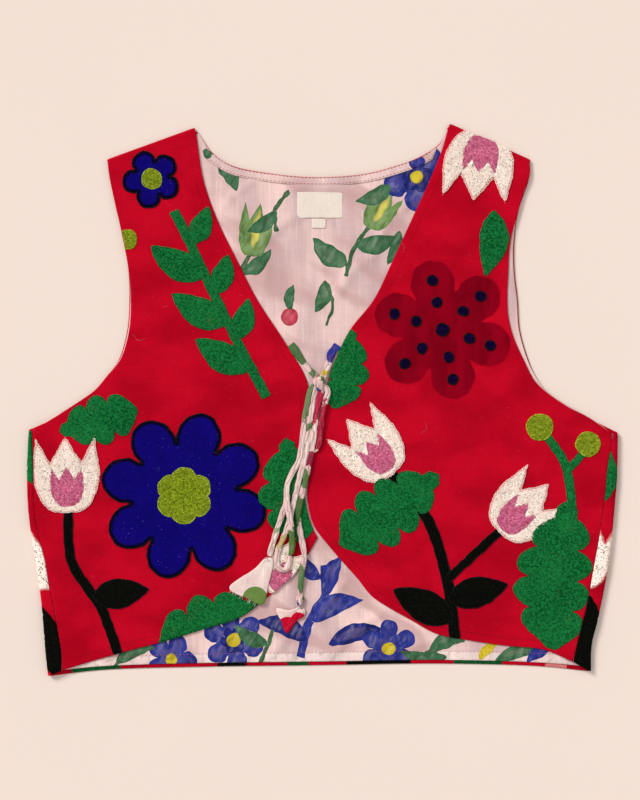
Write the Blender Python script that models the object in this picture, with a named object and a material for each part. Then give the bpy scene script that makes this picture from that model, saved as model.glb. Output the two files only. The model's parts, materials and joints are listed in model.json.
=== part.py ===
"""Short embroidered vest of red cotton, lined with printed voile, laid flat with its two fronts on its back.

Sizes and places are millimetres in the flat vest's own plan until make_object turns them into metres. +X is the
viewer's right, +Y runs towards the neck and +Z is up. The underside of the back rests on z = 0.
"""

import math
from collections import namedtuple

import bmesh
import bpy
import numpy as np
from mathutils import Vector
from mathutils.geometry import delaunay_2d_cdt

MM = 0.001

# Cloth and layers
COTTON = 1.2
VOILE = 1.0
GAP = 0.3
RELIEF = 1.0
RELIEF_RAMP = 1.8
BACK_MID = COTTON / 2
LINING_MID = COTTON + GAP + VOILE / 2
ON_LINING = COTTON + GAP + VOILE + GAP
FRONT_MID = ON_LINING + COTTON / 2
FRONT_TOP = ON_LINING + COTTON + RELIEF

# Folds: the radius of the cloth's middle where the back turns up at a side, or a front turns down at a shoulder
SIDE_FOLD = 2.4
SHOULDER_FOLD = 2.2
SHOULDER_DROP = 0.85
SEAM_RISE = BACK_MID + 2 * SIDE_FOLD - FRONT_MID
SEAM_RISE_WIDTH = 30.0
STRIP_TURN = math.pi * SIDE_FOLD
SHOULDER_REACH = SHOULDER_FOLD + COTTON / 2
SHOULDER_TURN = math.pi / 2 * SHOULDER_FOLD + SHOULDER_DROP
SHOULDER_STEPS = (0, SHOULDER_FOLD * math.pi / 4, SHOULDER_FOLD * math.pi / 2)
TURN_PARTS = (0, 0.25, 0.5, 0.75, 1)

# Edges
EDGE_STEP = 9.0
LINING_HEM_INSET = 3.5
LINING_SHOULDER_INSET = 3.4
FACING_WIDTH = 8.0
FACING_ENDS = ((-112.2, 108.8), (-110.5, 105.5))

# The middle of the vest's outline, which becomes the origin
MIDDLE = (0.42, 1.2)

# Outlines in plan, each a row of x, y
ARMHOLE = {
    "left": [(-197, 205), (-191, 178), (-185, 150), (-180, 122), (-179, 94), (-181, 66), (-189, 38), (-199, 24),
             (-211, 10), (-231, -4), (-253, -18), (-269, -25.5)],
    "right": [(192, 205), (183, 178), (179, 150), (179, 122), (182, 94), (184, 66), (192, 38), (198, 24),
              (208, 10), (227, -4), (252, -18), (272, -28)],
}
SIDE = {
    "left": [(-272, -20), (-274, -64), (-273, -101), (-268, -139), (-261, -185), (-257, -232), (-254, -262)],
    "right": [(275, -20), (274, -74), (272, -97), (268, -139), (262, -176), (256, -204), (250.5, -227), (250, -260)],
}
SEAM = {
    "left": [(-269, -29.5), (-268, -60), (-267, -100), (-263, -125), (-257, -148), (-253, -173), (-250, -185),
             (-245, -214), (-242, -232), (-241.5, -250)],
    "right": [(269.5, -34), (264.5, -64), (263, -83), (261, -100), (257, -127), (251, -160), (246, -188),
              (236, -228), (233, -242)],
}
SIDE_CORNER = {"left": (-254, -255.5), "right": (251, -251)}
BACK_HEM = [(-206, -250), (-113, -247), (-2, -245.5), (110, -244), (203, -246.5)]
BACK_NECK = [(-116, 246), (-101, 230), (-84, 219), (-44, 211), (-4, 208), (39, 211), (67, 218), (91, 227),
             (110, 240), (116, 251)]
SHOULDER = {"left": [(-200, 224.5), (-118.5, 254.1)], "right": [(194, 224.2), (119, 257.9)]}
FRONT_ARMHOLE = {
    "left": [(-198, 212), (-191, 178), (-184, 150), (-179, 122), (-177.5, 94), (-179, 66), (-187.5, 38),
             (-199, 24), (-211, 10), (-231, -4), (-253, -18), (-268.5, -27)],
    "right": [(193, 210), (187, 193), (181, 172), (175, 148), (173, 120), (172.5, 84), (177, 62), (187.5, 38),
              (199, 17), (226, -4), (247, -15), (269, -30)],
}
FRONT_HEM = {
    "left": [(-208, -240), (-176, -231), (-142, -222), (-110, -212), (-76, -201), (-55, -186), (-23, -158),
             (-4, -127)],
    "right": [(206, -231), (169, -227), (135, -222), (106, -216), (82, -203), (64, -193), (46, -181),
              (33, -165), (17, -147), (0, -127)],
}
CENTRE_FRONT = {
    "left": [(-10, -115), (-15.6, -90), (-13.5, -64), (-12, -43), (-12, -20), (-12.5, 2)],
    "right": [(-8, -115), (-13.6, -90), (-11, -64), (-8, -43), (-2, -22), (3, 0)],
}
NECK_EDGE = {
    "left": [(-14, 19), (-34, 54), (-60, 94), (-79, 131), (-97, 168), (-110, 205), (-115, 235), (-117, 250)],
    "right": [(6.5, 22), (14, 42), (26, 66), (48, 94), (66, 131), (83, 168), (100, 205), (112, 235), (117, 253)],
}
SIGN = {"left": -1, "right": 1}

Fold = namedtuple("Fold", "panel x1 y1 x2 y2 height width")
FOLDS = [
    Fold("left", -165, 74, -70, 18, 2.0, 15),
    Fold("left", -78, 92, -34, 6, 1.5, 10),
    Fold("left", -252, -70, -176, -10, 1.8, 14),
    Fold("left", -238, -196, -150, -176, 1.6, 16),
    Fold("left", -88, -20, -76, -128, 1.4, 12),
    Fold("right", 78, 138, 160, 112, 2.1, 14),
    Fold("right", 44, 46, 150, 6, 1.8, 16),
    Fold("right", 238, -60, 212, -190, 2.2, 14),
    Fold("right", 40, -90, 96, -176, 1.5, 14),
    Fold("right", 110, 232, 134, 176, 1.5, 10),
]

Rosette = namedtuple("Rosette", "panel x y radius petals turn notch")
ROSETTES = [
    Rosette("left", -158, 206, 27, 5, 8, 0.36),
    Rosette("left", -128, -88, 78, 8, 8, 0.36),
]
Leaf = namedtuple("Leaf", "panel x y length width turn bow")
LEAVES = [
    Leaf("left", -66, 30, 58, 27, 152, 0.05),
    Leaf("left", -88, 72, 58, 27, 152, 0.05),
    Leaf("left", -108, 116, 58, 27, 152, 0.05),
    Leaf("left", -80, 58, 38, 20, 72, -0.05),
    Leaf("left", -100, 100, 38, 20, 70, -0.05),
    Leaf("left", -122, 146, 38, 20, 64, -0.05),
    Leaf("left", -212, -182, 52, 27, 8, 0.0),
    Leaf("right", 121, -204, 62, 30, 152, 0.0),
    Leaf("right", 118, -184, 56, 28, 14, 0.0),
    Leaf("right", 160, 176, 60, 26, 262, 0.06),
]
LobedLeaf = namedtuple("LobedLeaf", "panel x y length width turn lobes bow")
LOBED_LEAVES = [
    LobedLeaf("left", -150, -226, 100, 58, 22, 3, 0.0),
    LobedLeaf("left", -20, -130, 96, 56, 98, 3, 0.05),
    LobedLeaf("left", -172, -8, 74, 46, 196, 3, 0.0),
    LobedLeaf("right", 214, -230, 138, 72, 84, 4, 0.05),
    LobedLeaf("right", 18, -134, 112, 60, 36, 4, 0.0),
    LobedLeaf("right", 12, -6, 74, 42, 78, 3, -0.05),
]
Tulip = namedtuple("Tulip", "panel x y height width turn")
TULIPS = [
    Tulip("left", -236, -104, 70, 60, 92),
    Tulip("left", -50, -176, 52, 46, 40),
    Tulip("right", 66, -68, 66, 58, 130),
    Tulip("right", 164, -122, 64, 58, 44),
    Tulip("right", 150, 252, 66, 64, 262),
]
Stem = namedtuple("Stem", "panel width route")
STEMS = [
    Stem("left", 8, [(-52, 4), (-84, 66), (-112, 124), (-137, 176)]),
    Stem("left", 8, [(-188, -238), (-206, -190), (-232, -150), (-236, -96)]),
    Stem("right", 9, [(124, -222), (116, -166), (96, -106), (62, -64)]),
    Stem("right", 7, [(116, -166), (146, -138), (168, -118)]),
    Stem("right", 7, [(232, -100), (226, -60), (204, -26)]),
    Stem("right", 6, [(227, -66), (246, -44)]),
]
Berry = namedtuple("Berry", "panel x y radius")
BERRIES = [
    Berry("left", -181, 150, 9),
    Berry("right", 202, -24, 12),
    Berry("right", 247, -40, 11),
]
DOTTED_FLOWER = Berry("right", 112, 66, 6)
DOT_RADIUS = 4.8
DOT_RINGS = (26, 47)
DOT_TURN = 42

# Ties: the radius of a rolled strip of lining cloth, and its routes as rows of x, y, z
TIE_RADIUS = 2.25
ON_FRONT = FRONT_TOP + GAP + TIE_RADIUS
TIE_ON_LINING = ON_LINING + TIE_RADIUS
OVER = 2 * TIE_RADIUS + GAP
TIES = {
    "tie_left": [(-24.5, 46, TIE_ON_LINING), (-19, 38, TIE_ON_LINING), (-12.5, 30, TIE_ON_LINING + 1),
                 (-7.5, 24.8, ON_FRONT - 0.8)],
    "tie_right": [(8.8, 44, TIE_ON_LINING), (6.6, 36, TIE_ON_LINING + 0.5), (4, 29, TIE_ON_LINING + 1.4),
                  (2.2, 24.6, ON_FRONT - 0.8)],
    "tie_fold": [(-10.9, 9.6, ON_FRONT), (-13.2, -1, ON_FRONT), (-15.6, -13, ON_FRONT), (-18.2, -36, ON_FRONT),
                 (-21.8, -56, ON_FRONT), (-27.4, -66, ON_FRONT), (-31.8, -76, ON_FRONT),
                 (-33, -88, ON_FRONT + 0.2 * OVER), (-31.6, -99, ON_FRONT + 0.85 * OVER),
                 (-29.6, -109, ON_FRONT + 1.1 * OVER), (-28.4, -119, ON_FRONT + 0.9 * OVER),
                 (-27.8, -129, ON_FRONT + 0.3 * OVER), (-27.8, -137, ON_FRONT)],
    "tie_loop": [(-5.9, 9.3, ON_FRONT), (-8.2, -1, ON_FRONT), (-10.6, -13, ON_FRONT), (-13.1, -36, ON_FRONT),
                 (-16.6, -56, ON_FRONT), (-21.6, -74, ON_FRONT), (-25, -90, ON_FRONT), (-27.8, -101, ON_FRONT),
                 (-31, -114, ON_FRONT), (-36, -127, ON_FRONT), (-40.6, -138, ON_FRONT), (-42, -148, ON_FRONT),
                 (-39, -156, ON_FRONT), (-33.5, -156.5, ON_FRONT), (-30.3, -151, ON_FRONT),
                 (-29.6, -143.5, ON_FRONT)],
    "tie_end_right": [(-0.8, 9.5, ON_FRONT), (-3.2, -1, ON_FRONT), (-5.6, -13, ON_FRONT), (-8, -36, ON_FRONT),
                      (-11.4, -56, ON_FRONT), (-16, -75, ON_FRONT), (-19.6, -92, ON_FRONT),
                      (-22, -104, ON_FRONT), (-20.5, -120, ON_FRONT), (-17.7, -134, ON_FRONT),
                      (-16.4, -143, ON_FRONT + 0.6), (-18.2, -155, ON_FRONT), (-19.6, -167, TIE_ON_LINING + 1.4),
                      (-20, -178, TIE_ON_LINING)],
    "tie_tuck": [(5.4, 9, ON_FRONT), (2.8, -1, ON_FRONT), (0.4, -13, ON_FRONT), (-1.4, -27, ON_FRONT),
                 (-2.6, -39, ON_FRONT)],
    "tie_end_left": [(-37.2, -106, ON_FRONT), (-41.4, -118, ON_FRONT), (-45, -130, ON_FRONT),
                     (-47.6, -139, ON_FRONT), (-48.6, -144, ON_FRONT)],
}
KNOT_CENTRE = (-2.6, 16.6)
KNOT_SIZE = (9.0, 12.6, 6.0)
FLARE_LEFT = [(-52, -144.8), (-62, -155), (-86, -173.5), (-70, -183), (-55, -188.5), (-49.5, -170),
              (-45.6, -147)]
FLARE_RIGHT = [(-18.5, -190.6), (-22, -191.6), (-30, -194), (-42.5, -192.5), (-38, -204), (-32.5, -215.5),
               (-24, -204.5), (-17, -200), (-15.5, -195)]
END_KNOT_CENTRE = (-20.2, -184.8)
END_KNOT_SIZE = (8.4, 10.6, 4.6)
FLARE_LAYERS = 2.0

LABEL = (-2, 182, 42, 24)
SIZE_TAB = (-3, 165, 13, 8.6)
LABEL_CLOTH = 1.0

Finish = namedtuple("Finish", "colour roughness")
RED_COTTON = Finish((0.43, 0.004, 0.011), 0.85)
PINK_VOILE = Finish((0.72, 0.52, 0.48), 0.8)
BARE_LABEL = Finish((0.72, 0.63, 0.52), 0.7)


def smooth_curve(points, step):
    """Evenly spaced points on a smooth curve through the given ones."""
    corners = np.array(points, float)
    first = 2 * corners[0] - corners[1]
    last = 2 * corners[-1] - corners[-2]
    padded = np.vstack([first, corners, last])
    dense = []
    for i in range(1, len(padded) - 2):
        before, start, end, after = padded[i - 1:i + 3]
        knots = [np.linalg.norm(b - a) ** 0.5 for a, b in ((before, start), (start, end), (end, after))]
        leave = (start - before) / knots[0] - (end - before) / (knots[0] + knots[1]) + (end - start) / knots[1]
        arrive = (end - start) / knots[1] - (after - start) / (knots[1] + knots[2]) + (after - end) / knots[2]
        t = np.linspace(0, 1, 24, endpoint=False)[:, None]
        dense.append((2 * t**3 - 3 * t**2 + 1) * start + (t**3 - 2 * t**2 + t) * knots[1] * leave
                     + (3 * t**2 - 2 * t**3) * end + (t**3 - t**2) * knots[1] * arrive)
    dense = np.vstack(dense + [corners[-1:]])
    along = np.concatenate([[0], np.cumsum(np.linalg.norm(np.diff(dense, axis=0), axis=1))])
    wanted = np.linspace(0, along[-1], max(1, round(along[-1] / step)) + 1)
    return np.column_stack([np.interp(wanted, along, axis) for axis in dense.T])


def joined(*runs):
    """One closed outline from runs that each start where the last one ended."""
    points = []
    for run in runs:
        for point in run:
            if not points or math.dist(points[-1], point) > 1.0:
                points.append(tuple(point))
    if math.dist(points[0], points[-1]) <= 1.0:
        points.pop()
    return points


def turned(points, x, y, turn):
    c = math.cos(math.radians(turn))
    s = math.sin(math.radians(turn))
    return [(x + c * u - s * v, y + s * u + c * v) for u, v in points]


def disc(x, y, radius, count):
    angles = [2 * math.pi * i / count for i in range(count)]
    return [(x + radius * math.cos(a), y + radius * math.sin(a)) for a in angles]


def rosette_outline(flower, count=6):
    """A flower of round petals, whose rim swings in to a notch between each pair."""
    rim = []
    for i in range(flower.petals * count):
        angle = 2 * math.pi * i / (flower.petals * count)
        lobe = abs(math.sin(flower.petals * angle / 2)) ** 0.6
        r = flower.radius * (1 - flower.notch * (1 - lobe))
        rim.append((r * math.cos(angle), r * math.sin(angle)))
    return turned(rim, flower.x, flower.y, flower.turn)


def leaf_outline(leaf, count=5):
    """A pointed leaf from its base, with its midrib bowed to one side."""
    lower = [(0.0, 0.0)]
    upper = []
    for i in range(1, count):
        t = i / count
        half = leaf.width / 2 * math.sin(math.pi * t**0.8) ** 0.85
        mid = leaf.bow * leaf.length * math.sin(math.pi * t)
        lower.append((t * leaf.length, mid - half))
        upper.append((t * leaf.length, mid + half))
    return turned(lower + [(leaf.length, 0.0)] + upper[::-1], leaf.x, leaf.y, leaf.turn)


def lobed_leaf_outline(leaf, count=4):
    """A leaf with round lobes down both sides, as an oak's, and one at its tip."""
    lower = []
    upper = []
    steps = leaf.lobes * count
    for i in range(steps + 1):
        t = i / steps
        envelope = 0.30 + 0.70 * math.sin(math.pi * (0.12 + 0.80 * t)) ** 0.9
        wave = 0.55 + 0.45 * abs(math.sin(math.pi * leaf.lobes * t)) ** 0.55
        half = leaf.width / 2 * envelope * wave * (1 if i else 0.25)
        mid = leaf.bow * leaf.length * math.sin(math.pi * t)
        along = leaf.length * (0.06 + 0.82 * t) if i else 0
        lower.append((along, mid - half))
        upper.append((along, mid + half))
    tip = [(0.95 * leaf.length, -0.12 * leaf.width), (leaf.length, 0), (0.95 * leaf.length, 0.12 * leaf.width)]
    return turned(lower + tip + upper[::-1], leaf.x, leaf.y, leaf.turn)


def tulip_outline(tulip, count=5):
    """A cup of three pointed petals from its base."""
    half = tulip.width / 2
    tall = tulip.height
    side = smooth_curve([(0, 0), (0.6 * half, 0.06 * tall), (half, 0.42 * tall), (0.92 * half, tall)], tall / count)
    side = [tuple(point) for point in side]
    notch = (0.48 * half, 0.66 * tall)
    left = [(-u, v) for u, v in side[:0:-1]]
    rim = side + [notch, (0, 1.02 * tall), (-notch[0], notch[1])] + left
    return turned(rim, tulip.x, tulip.y, tulip.turn - 90)


def stem_outline(stem):
    line = smooth_curve(stem.route, 18.0)
    along = np.gradient(line, axis=0)
    across = np.column_stack([along[:, 1], -along[:, 0]]) / np.linalg.norm(along, axis=1)[:, None]
    half = stem.width / 2
    return [tuple(p) for p in line + half * across] + [tuple(p) for p in (line - half * across)[::-1]]


def raised_shapes(panel):
    """The outline of each embroidered shape on a front."""
    makers = ((ROSETTES, rosette_outline), (LEAVES, leaf_outline), (LOBED_LEAVES, lobed_leaf_outline),
              (TULIPS, tulip_outline), (STEMS, stem_outline))
    shapes = [make(row) for table, make in makers for row in table if row.panel == panel]
    shapes += [disc(berry.x, berry.y, berry.radius, 10) for berry in BERRIES if berry.panel == panel]
    if DOTTED_FLOWER.panel == panel:
        shapes.append(disc(DOTTED_FLOWER.x, DOTTED_FLOWER.y, DOTTED_FLOWER.radius, 6))
        for ring in DOT_RINGS:
            for x, y in disc(0, 0, ring, 6):
                (u, v), = turned([(x, y)], DOTTED_FLOWER.x, DOTTED_FLOWER.y, DOT_TURN)
                shapes.append(disc(u, v, DOT_RADIUS, 6))
    return shapes


def distance_to(points, line, closed=False):
    """How far each point lies from a polyline."""
    points = np.asarray(points, float)[:, None]
    start = np.asarray(line, float)
    end = np.roll(start, -1, axis=0) if closed else start[1:]
    start = start if closed else start[:-1]
    edge = end - start
    t = ((points - start) * edge).sum(axis=2) / (edge**2).sum(axis=1)
    nearest = start + np.clip(t, 0, 1)[..., None] * edge
    return np.linalg.norm(points - nearest, axis=2).min(axis=1)


def inside(points, outline):
    """Which points lie inside a closed outline."""
    x, y = np.asarray(points, float).T
    start = np.asarray(outline, float)
    result = np.zeros(len(x), bool)
    for (x1, y1), (x2, y2) in zip(start, np.roll(start, -1, axis=0)):
        crosses = (y1 > y) != (y2 > y)
        span = y2 - y1 if y2 != y1 else 1.0
        result ^= crosses & (x < x1 + (x2 - x1) * (y - y1) / span)
    return result


def depth_in(points, outline):
    """How far inside a closed outline each point lies, and 0 outside it."""
    return np.where(inside(points, outline), distance_to(points, outline, closed=True), 0)


def spread(outline, spacing, clearance):
    """Points on a staggered grid inside an outline, clear of its edge."""
    low = np.min(outline, axis=0)
    high = np.max(outline, axis=0)
    rows = [(x + (spacing / 2 if row % 2 else 0), y)
            for row, y in enumerate(np.arange(low[1] + spacing / 2, high[1], spacing * 0.87))
            for x in np.arange(low[0], high[0], spacing)]
    rows = np.array(rows)
    return rows[depth_in(rows, outline) > clearance]


def ramp_points(shapes, outline):
    """Points just inside each raised shape, where its slope reaches the full height."""
    found = []
    for shape in shapes:
        ring = np.array(shape)
        along = np.roll(ring, -1, axis=0) - np.roll(ring, 1, axis=0)
        inward = np.column_stack([-along[:, 1], along[:, 0]]) / np.linalg.norm(along, axis=1)[:, None]
        moved = ring + inward * RELIEF_RAMP * 1.1
        found.append(moved[depth_in(moved, shape) > RELIEF_RAMP * 0.8])
    found = np.vstack(found)
    return found[depth_in(found, outline) > 2.0]


def triangulate(outline, shapes=(), loose=(), merge=0.05):
    """Points and triangles inside an outline, with each shape's edge among them."""
    coords = [Vector(point) for point in outline]
    faces = [list(range(len(outline)))]
    for shape in shapes:
        faces.append(list(range(len(coords), len(coords) + len(shape))))
        coords += [Vector(point) for point in shape]
    coords += [Vector(point) for point in loose]
    points, _, triangles, sources, _, covers = delaunay_2d_cdt(coords, [], faces, 0, merge)
    kept = [tuple(face) for face, cover in zip(triangles, covers) if 0 in cover]
    place = {old: new for new, olds in enumerate(sources) for old in olds}
    return np.array([tuple(point) for point in points]), kept, place


def rim_of(triangles):
    """The indices round the edge of some triangles, in order."""
    edges = {}
    for face in triangles:
        for a, b in zip(face, face[1:] + face[:1]):
            edges[a, b] = True
    follows = {a: b for a, b in edges if (b, a) not in edges}
    start = next(iter(follows))
    rim = [start]
    while follows[rim[-1]] != start:
        rim.append(follows[rim[-1]])
    return rim


def with_normals(surface, plan):
    """A surface's points over the plan, and its unit normals from small steps along x and y."""
    step = 0.02
    here = surface(plan)
    right = surface(plan + [step, 0]) - surface(plan - [step, 0])
    up = surface(plan + [0, step]) - surface(plan - [0, step])
    normal = np.cross(right, up)
    return here, normal / np.linalg.norm(normal, axis=1)[:, None]


def flat(height):
    return lambda plan: np.column_stack([plan, np.full(len(plan), height)])


def make_object(name, points, faces, finish):
    """A mesh object from millimetre points, moved so that the middle of the vest is the origin."""
    mesh = bpy.data.meshes.new(name)
    shell = bmesh.new()
    verts = [shell.verts.new(((x - MIDDLE[0]) * MM, (y - MIDDLE[1]) * MM, z * MM)) for x, y, z in points]
    for face in faces:
        shell.faces.new([verts[i] for i in face])
    loose = [vert for vert in shell.verts if not vert.link_faces]
    bmesh.ops.delete(shell, geom=loose, context="VERTS")
    bmesh.ops.recalc_face_normals(shell, faces=shell.faces)
    shell.to_mesh(mesh)
    shell.free()
    obj = bpy.data.objects.new(name, mesh)
    bpy.context.scene.collection.objects.link(obj)
    paint(obj, finish)
    return obj


def paint(obj, finish):
    material = bpy.data.materials.new(obj.name)
    material.use_nodes = True
    shader = material.node_tree.nodes["Principled BSDF"]
    shader.inputs["Base Color"].default_value = (*finish.colour, 1.0)
    shader.inputs["Roughness"].default_value = finish.roughness
    obj.data.materials.append(material)


def wall(name, outline, surface, thickness, finish, outer=1, shapes=(), outer_points=(), inner_points=()):
    """A cloth wall round a middle surface, raised over each shape on its outer side and plain inside."""
    plan, top, _ = triangulate(outline, shapes, outer_points)
    rim = rim_of(top)
    inner_plan, bottom, place = triangulate([plan[i] for i in rim], (), inner_points, merge=1e-4)
    relief = np.zeros(len(plan))
    for shape in shapes:
        relief = np.maximum(relief, RELIEF * np.minimum(depth_in(plan, shape) / RELIEF_RAMP, 1))
    middle, normal = with_normals(surface, plan)
    outside = middle + outer * normal * (thickness / 2 + relief)[:, None]
    middle, normal = with_normals(surface, inner_plan)
    within = middle - outer * normal * thickness / 2
    first = len(outside)
    faces = list(top) + [tuple(first + i for i in face[::-1]) for face in bottom]
    for i, a in enumerate(rim):
        b = rim[(i + 1) % len(rim)]
        under_a = first + place[i]
        under_b = first + place[(i + 1) % len(rim)]
        faces += [(a, under_a, under_b), (a, under_b, b)]
    return make_object(name, np.vstack([outside, within]), faces, finish)


def side_x(side, y):
    line = smooth_curve(SIDE[side], 4.0)[::-1]
    return np.interp(y, line[:, 1], line[:, 0])


def fold_start(side, y):
    """Where the flat back starts to turn up at a side."""
    return side_x(side, y) - SIGN[side] * (SIDE_FOLD + COTTON / 2)


def strip_u(side, x, y):
    """A place on the back's turned-over strip, measured along the cloth before it was turned."""
    return 2 * fold_start(side, y) - x + SIGN[side] * STRIP_TURN


def back_surface(plan):
    """The middle of the back's cloth: flat, then round each side and in over itself."""
    u, v = plan.T
    x = u.copy()
    z = np.full(len(u), BACK_MID)
    for side, sign in SIGN.items():
        start = fold_start(side, v)
        past = sign * (u - start)
        turn = np.clip(past / SIDE_FOLD, 0, math.pi)
        strip = np.maximum(past - STRIP_TURN, 0)
        folded = past > 0
        x = np.where(folded, start + sign * (SIDE_FOLD * np.sin(turn) - strip), x)
        z = np.where(folded, BACK_MID + SIDE_FOLD * (1 - np.cos(turn)), z)
    return np.column_stack([x, v, z])


def round_turn(side, first_y, last_y):
    """An edge that follows the cloth round a side fold, from the flat back to the strip above it."""
    rows = zip(TURN_PARTS, np.linspace(first_y, last_y, len(TURN_PARTS)))
    return [(fold_start(side, y) + SIGN[side] * STRIP_TURN * part, y) for part, y in rows]


def strip_edge(side):
    """The edge of the turned-over strip, from the armhole down the side seam and back along the hem."""
    top_y = ARMHOLE[side][-1][1]
    corner_y = SIDE_CORNER[side][1]
    seam = [(strip_u(side, x + SIGN[side] * GAP / 2, y), y) for x, y in smooth_curve(SEAM[side], EDGE_STEP)]
    return round_turn(side, top_y, top_y - 2.5) + seam + round_turn(side, corner_y, corner_y + 0.6)[::-1]


def shoulder_line(side, inset):
    """A shoulder line moved in from the outline, from the armhole end to the neck end."""
    start, end = (np.array(p) for p in SHOULDER[side])
    along = (end - start) / np.linalg.norm(end - start)
    outward = np.array([-along[1], along[0]]) * (1 if side == "left" else -1)
    return start - outward * inset, end - outward * inset, outward


def back_outline(inset_shoulder):
    left_outer, left_neck, _ = shoulder_line("left", inset_shoulder)
    right_outer, right_neck, _ = shoulder_line("right", inset_shoulder)
    down_left = smooth_curve([tuple(left_outer)] + ARMHOLE["left"], EDGE_STEP)
    up_right = smooth_curve([tuple(right_outer)] + ARMHOLE["right"], EDGE_STEP)[::-1]
    hem = smooth_curve([strip_edge("left")[-1]] + BACK_HEM + [strip_edge("right")[-1]], 20.0)
    neck = smooth_curve([tuple(right_neck - [1.2, 1.5])] + BACK_NECK[::-1][1:-1] + [tuple(left_neck + [1.2, -1.5])],
                        EDGE_STEP)
    return joined(down_left, strip_edge("left"), hem, strip_edge("right")[::-1], up_right, neck)


def make_back():
    outline = back_outline(SHOULDER_REACH - SHOULDER_FOLD + COTTON + GAP)
    columns = []
    for side, sign in SIGN.items():
        low = SIDE_CORNER[side][1] + 8
        for y in np.arange(low, SEAM[side][0][1] - 2, 15.0):
            for part in TURN_PARTS:
                columns.append((fold_start(side, y) + sign * STRIP_TURN * part, y))
    columns = np.array(columns)
    columns = columns[depth_in(columns, outline) > 1.0]
    grid = spread(outline, 45.0, 14.0)
    apart = np.array([np.linalg.norm(columns - point, axis=1).min() > 12 for point in grid])
    loose = np.vstack([columns, grid[apart]])
    return wall("back", outline, back_surface, COTTON, RED_COTTON, outer=-1, outer_points=loose, inner_points=loose)


def lining_outline():
    """The back's own outline, drawn in: a little at the armholes and neck, and more at the hem."""
    left_outer, left_neck, _ = shoulder_line("left", LINING_SHOULDER_INSET)
    right_outer, right_neck, _ = shoulder_line("right", LINING_SHOULDER_INSET)
    left = [(x + 1.0, y + 1.2) if y < 30 else (x + 1.0, y) for x, y in ARMHOLE["left"]]
    right = [(x - 1.0, y + 1.2) if y < 30 else (x - 1.0, y) for x, y in ARMHOLE["right"]]
    left[-1] = (-267.5, -28)
    right[-1] = (270.5, -31)
    sides = {}
    for side, sign in SIGN.items():
        bottom = SIDE_CORNER[side][1] + LINING_HEM_INSET + 1
        rows = np.arange(bottom, left[-1][1] if side == "left" else right[-1][1], 18.0)
        sides[side] = [(fold_start(side, y) - sign * 0.6, y) for y in rows]
    hem = [(x, y + LINING_HEM_INSET) for x, y in BACK_HEM]
    neck = [(x, y - 1.0) for x, y in BACK_NECK[1:-1]]
    return joined(
        smooth_curve([tuple(left_outer + [1, 0])] + left, EDGE_STEP),
        sides["left"][::-1],
        smooth_curve([sides["left"][0]] + hem + [sides["right"][0]], 20.0),
        sides["right"],
        smooth_curve([tuple(right_outer - [1, 0])] + right, EDGE_STEP)[::-1],
        smooth_curve([tuple(right_neck - [2.4, 2.2])] + neck[::-1] + [tuple(left_neck + [2.4, -2.2])], EDGE_STEP),
    )


def make_lining():
    outline = lining_outline()
    grid = spread(outline, 50.0, 16.0)
    return wall("back_lining", outline, flat(LINING_MID), VOILE, PINK_VOILE, outer_points=grid, inner_points=grid)


def make_neck_facing():
    """A bias strip along the back neck, ending just short of each front."""
    line = smooth_curve([(-111.5, 238.5)] + BACK_NECK[2:-2] + [(109, 237.5)], 8.0)
    along = np.gradient(line, axis=0)
    across = np.column_stack([along[:, 1], -along[:, 0]]) / np.linalg.norm(along, axis=1)[:, None]
    upper = [tuple(p) for p in line + 0.6 * across if FACING_ENDS[0][0] < p[0] < FACING_ENDS[0][1]]
    lower = [tuple(p) for p in line + FACING_WIDTH * across if FACING_ENDS[1][0] < p[0] < FACING_ENDS[1][1]]
    outline = lower + upper[::-1]
    return wall("neck_facing", outline, flat(ON_LINING + VOILE / 2), VOILE, PINK_VOILE)


def make_label(name, place):
    x, y, width, height = place
    corners = [(-0.5, -0.5), (0.5, -0.5), (0.5, 0.5), (-0.5, 0.5)]
    outline = [(x + width * u, y + height * v) for u, v in corners]
    return wall(name, outline, flat(ON_LINING + LABEL_CLOTH / 2), LABEL_CLOTH, BARE_LABEL)


def fold_height(panel, plan):
    """How far the soft folds lift a front."""
    lift = np.zeros(len(plan))
    for fold in FOLDS:
        if fold.panel != panel:
            continue
        start = np.array((fold.x1, fold.y1))
        edge = np.array((fold.x2, fold.y2)) - start
        t = ((plan - start) @ edge) / (edge @ edge)
        off = np.abs((plan - start) @ np.array((-edge[1], edge[0]))) / np.linalg.norm(edge)
        ends = np.clip(np.minimum(t, 1 - t) * 3 + 0.5, 0, 1)
        lift += fold.height * np.exp(-(off / fold.width) ** 2) * ends**2 * (3 - 2 * ends)
    return lift


def front_surface(side):
    """The middle of a front's cloth: on the lining, up to the side seam, and down over the shoulder."""
    seam = smooth_curve(SEAM[side], 12.0)
    fold_at, _, outward = shoulder_line(side, SHOULDER_REACH)

    def surface(plan):
        near = np.clip(1 - distance_to(plan, seam) / SEAM_RISE_WIDTH, 0, 1)
        past = (plan - fold_at) @ outward
        level = np.clip(-past / 20, 0, 1)
        free = fold_height(side, plan) * level * (1 - near)
        z = FRONT_MID + SEAM_RISE * near**2 * (3 - 2 * near) + free
        turn = np.clip(past / SHOULDER_FOLD, 0, math.pi / 2)
        drop = np.maximum(past - math.pi / 2 * SHOULDER_FOLD, 0)
        back_up = np.where(past > 0, SHOULDER_FOLD * np.sin(turn) - past, 0)
        z = z - np.where(past > 0, SHOULDER_FOLD * (1 - np.cos(turn)) + drop, 0)
        return np.column_stack([plan + back_up[:, None] * outward, z])

    return surface


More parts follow.
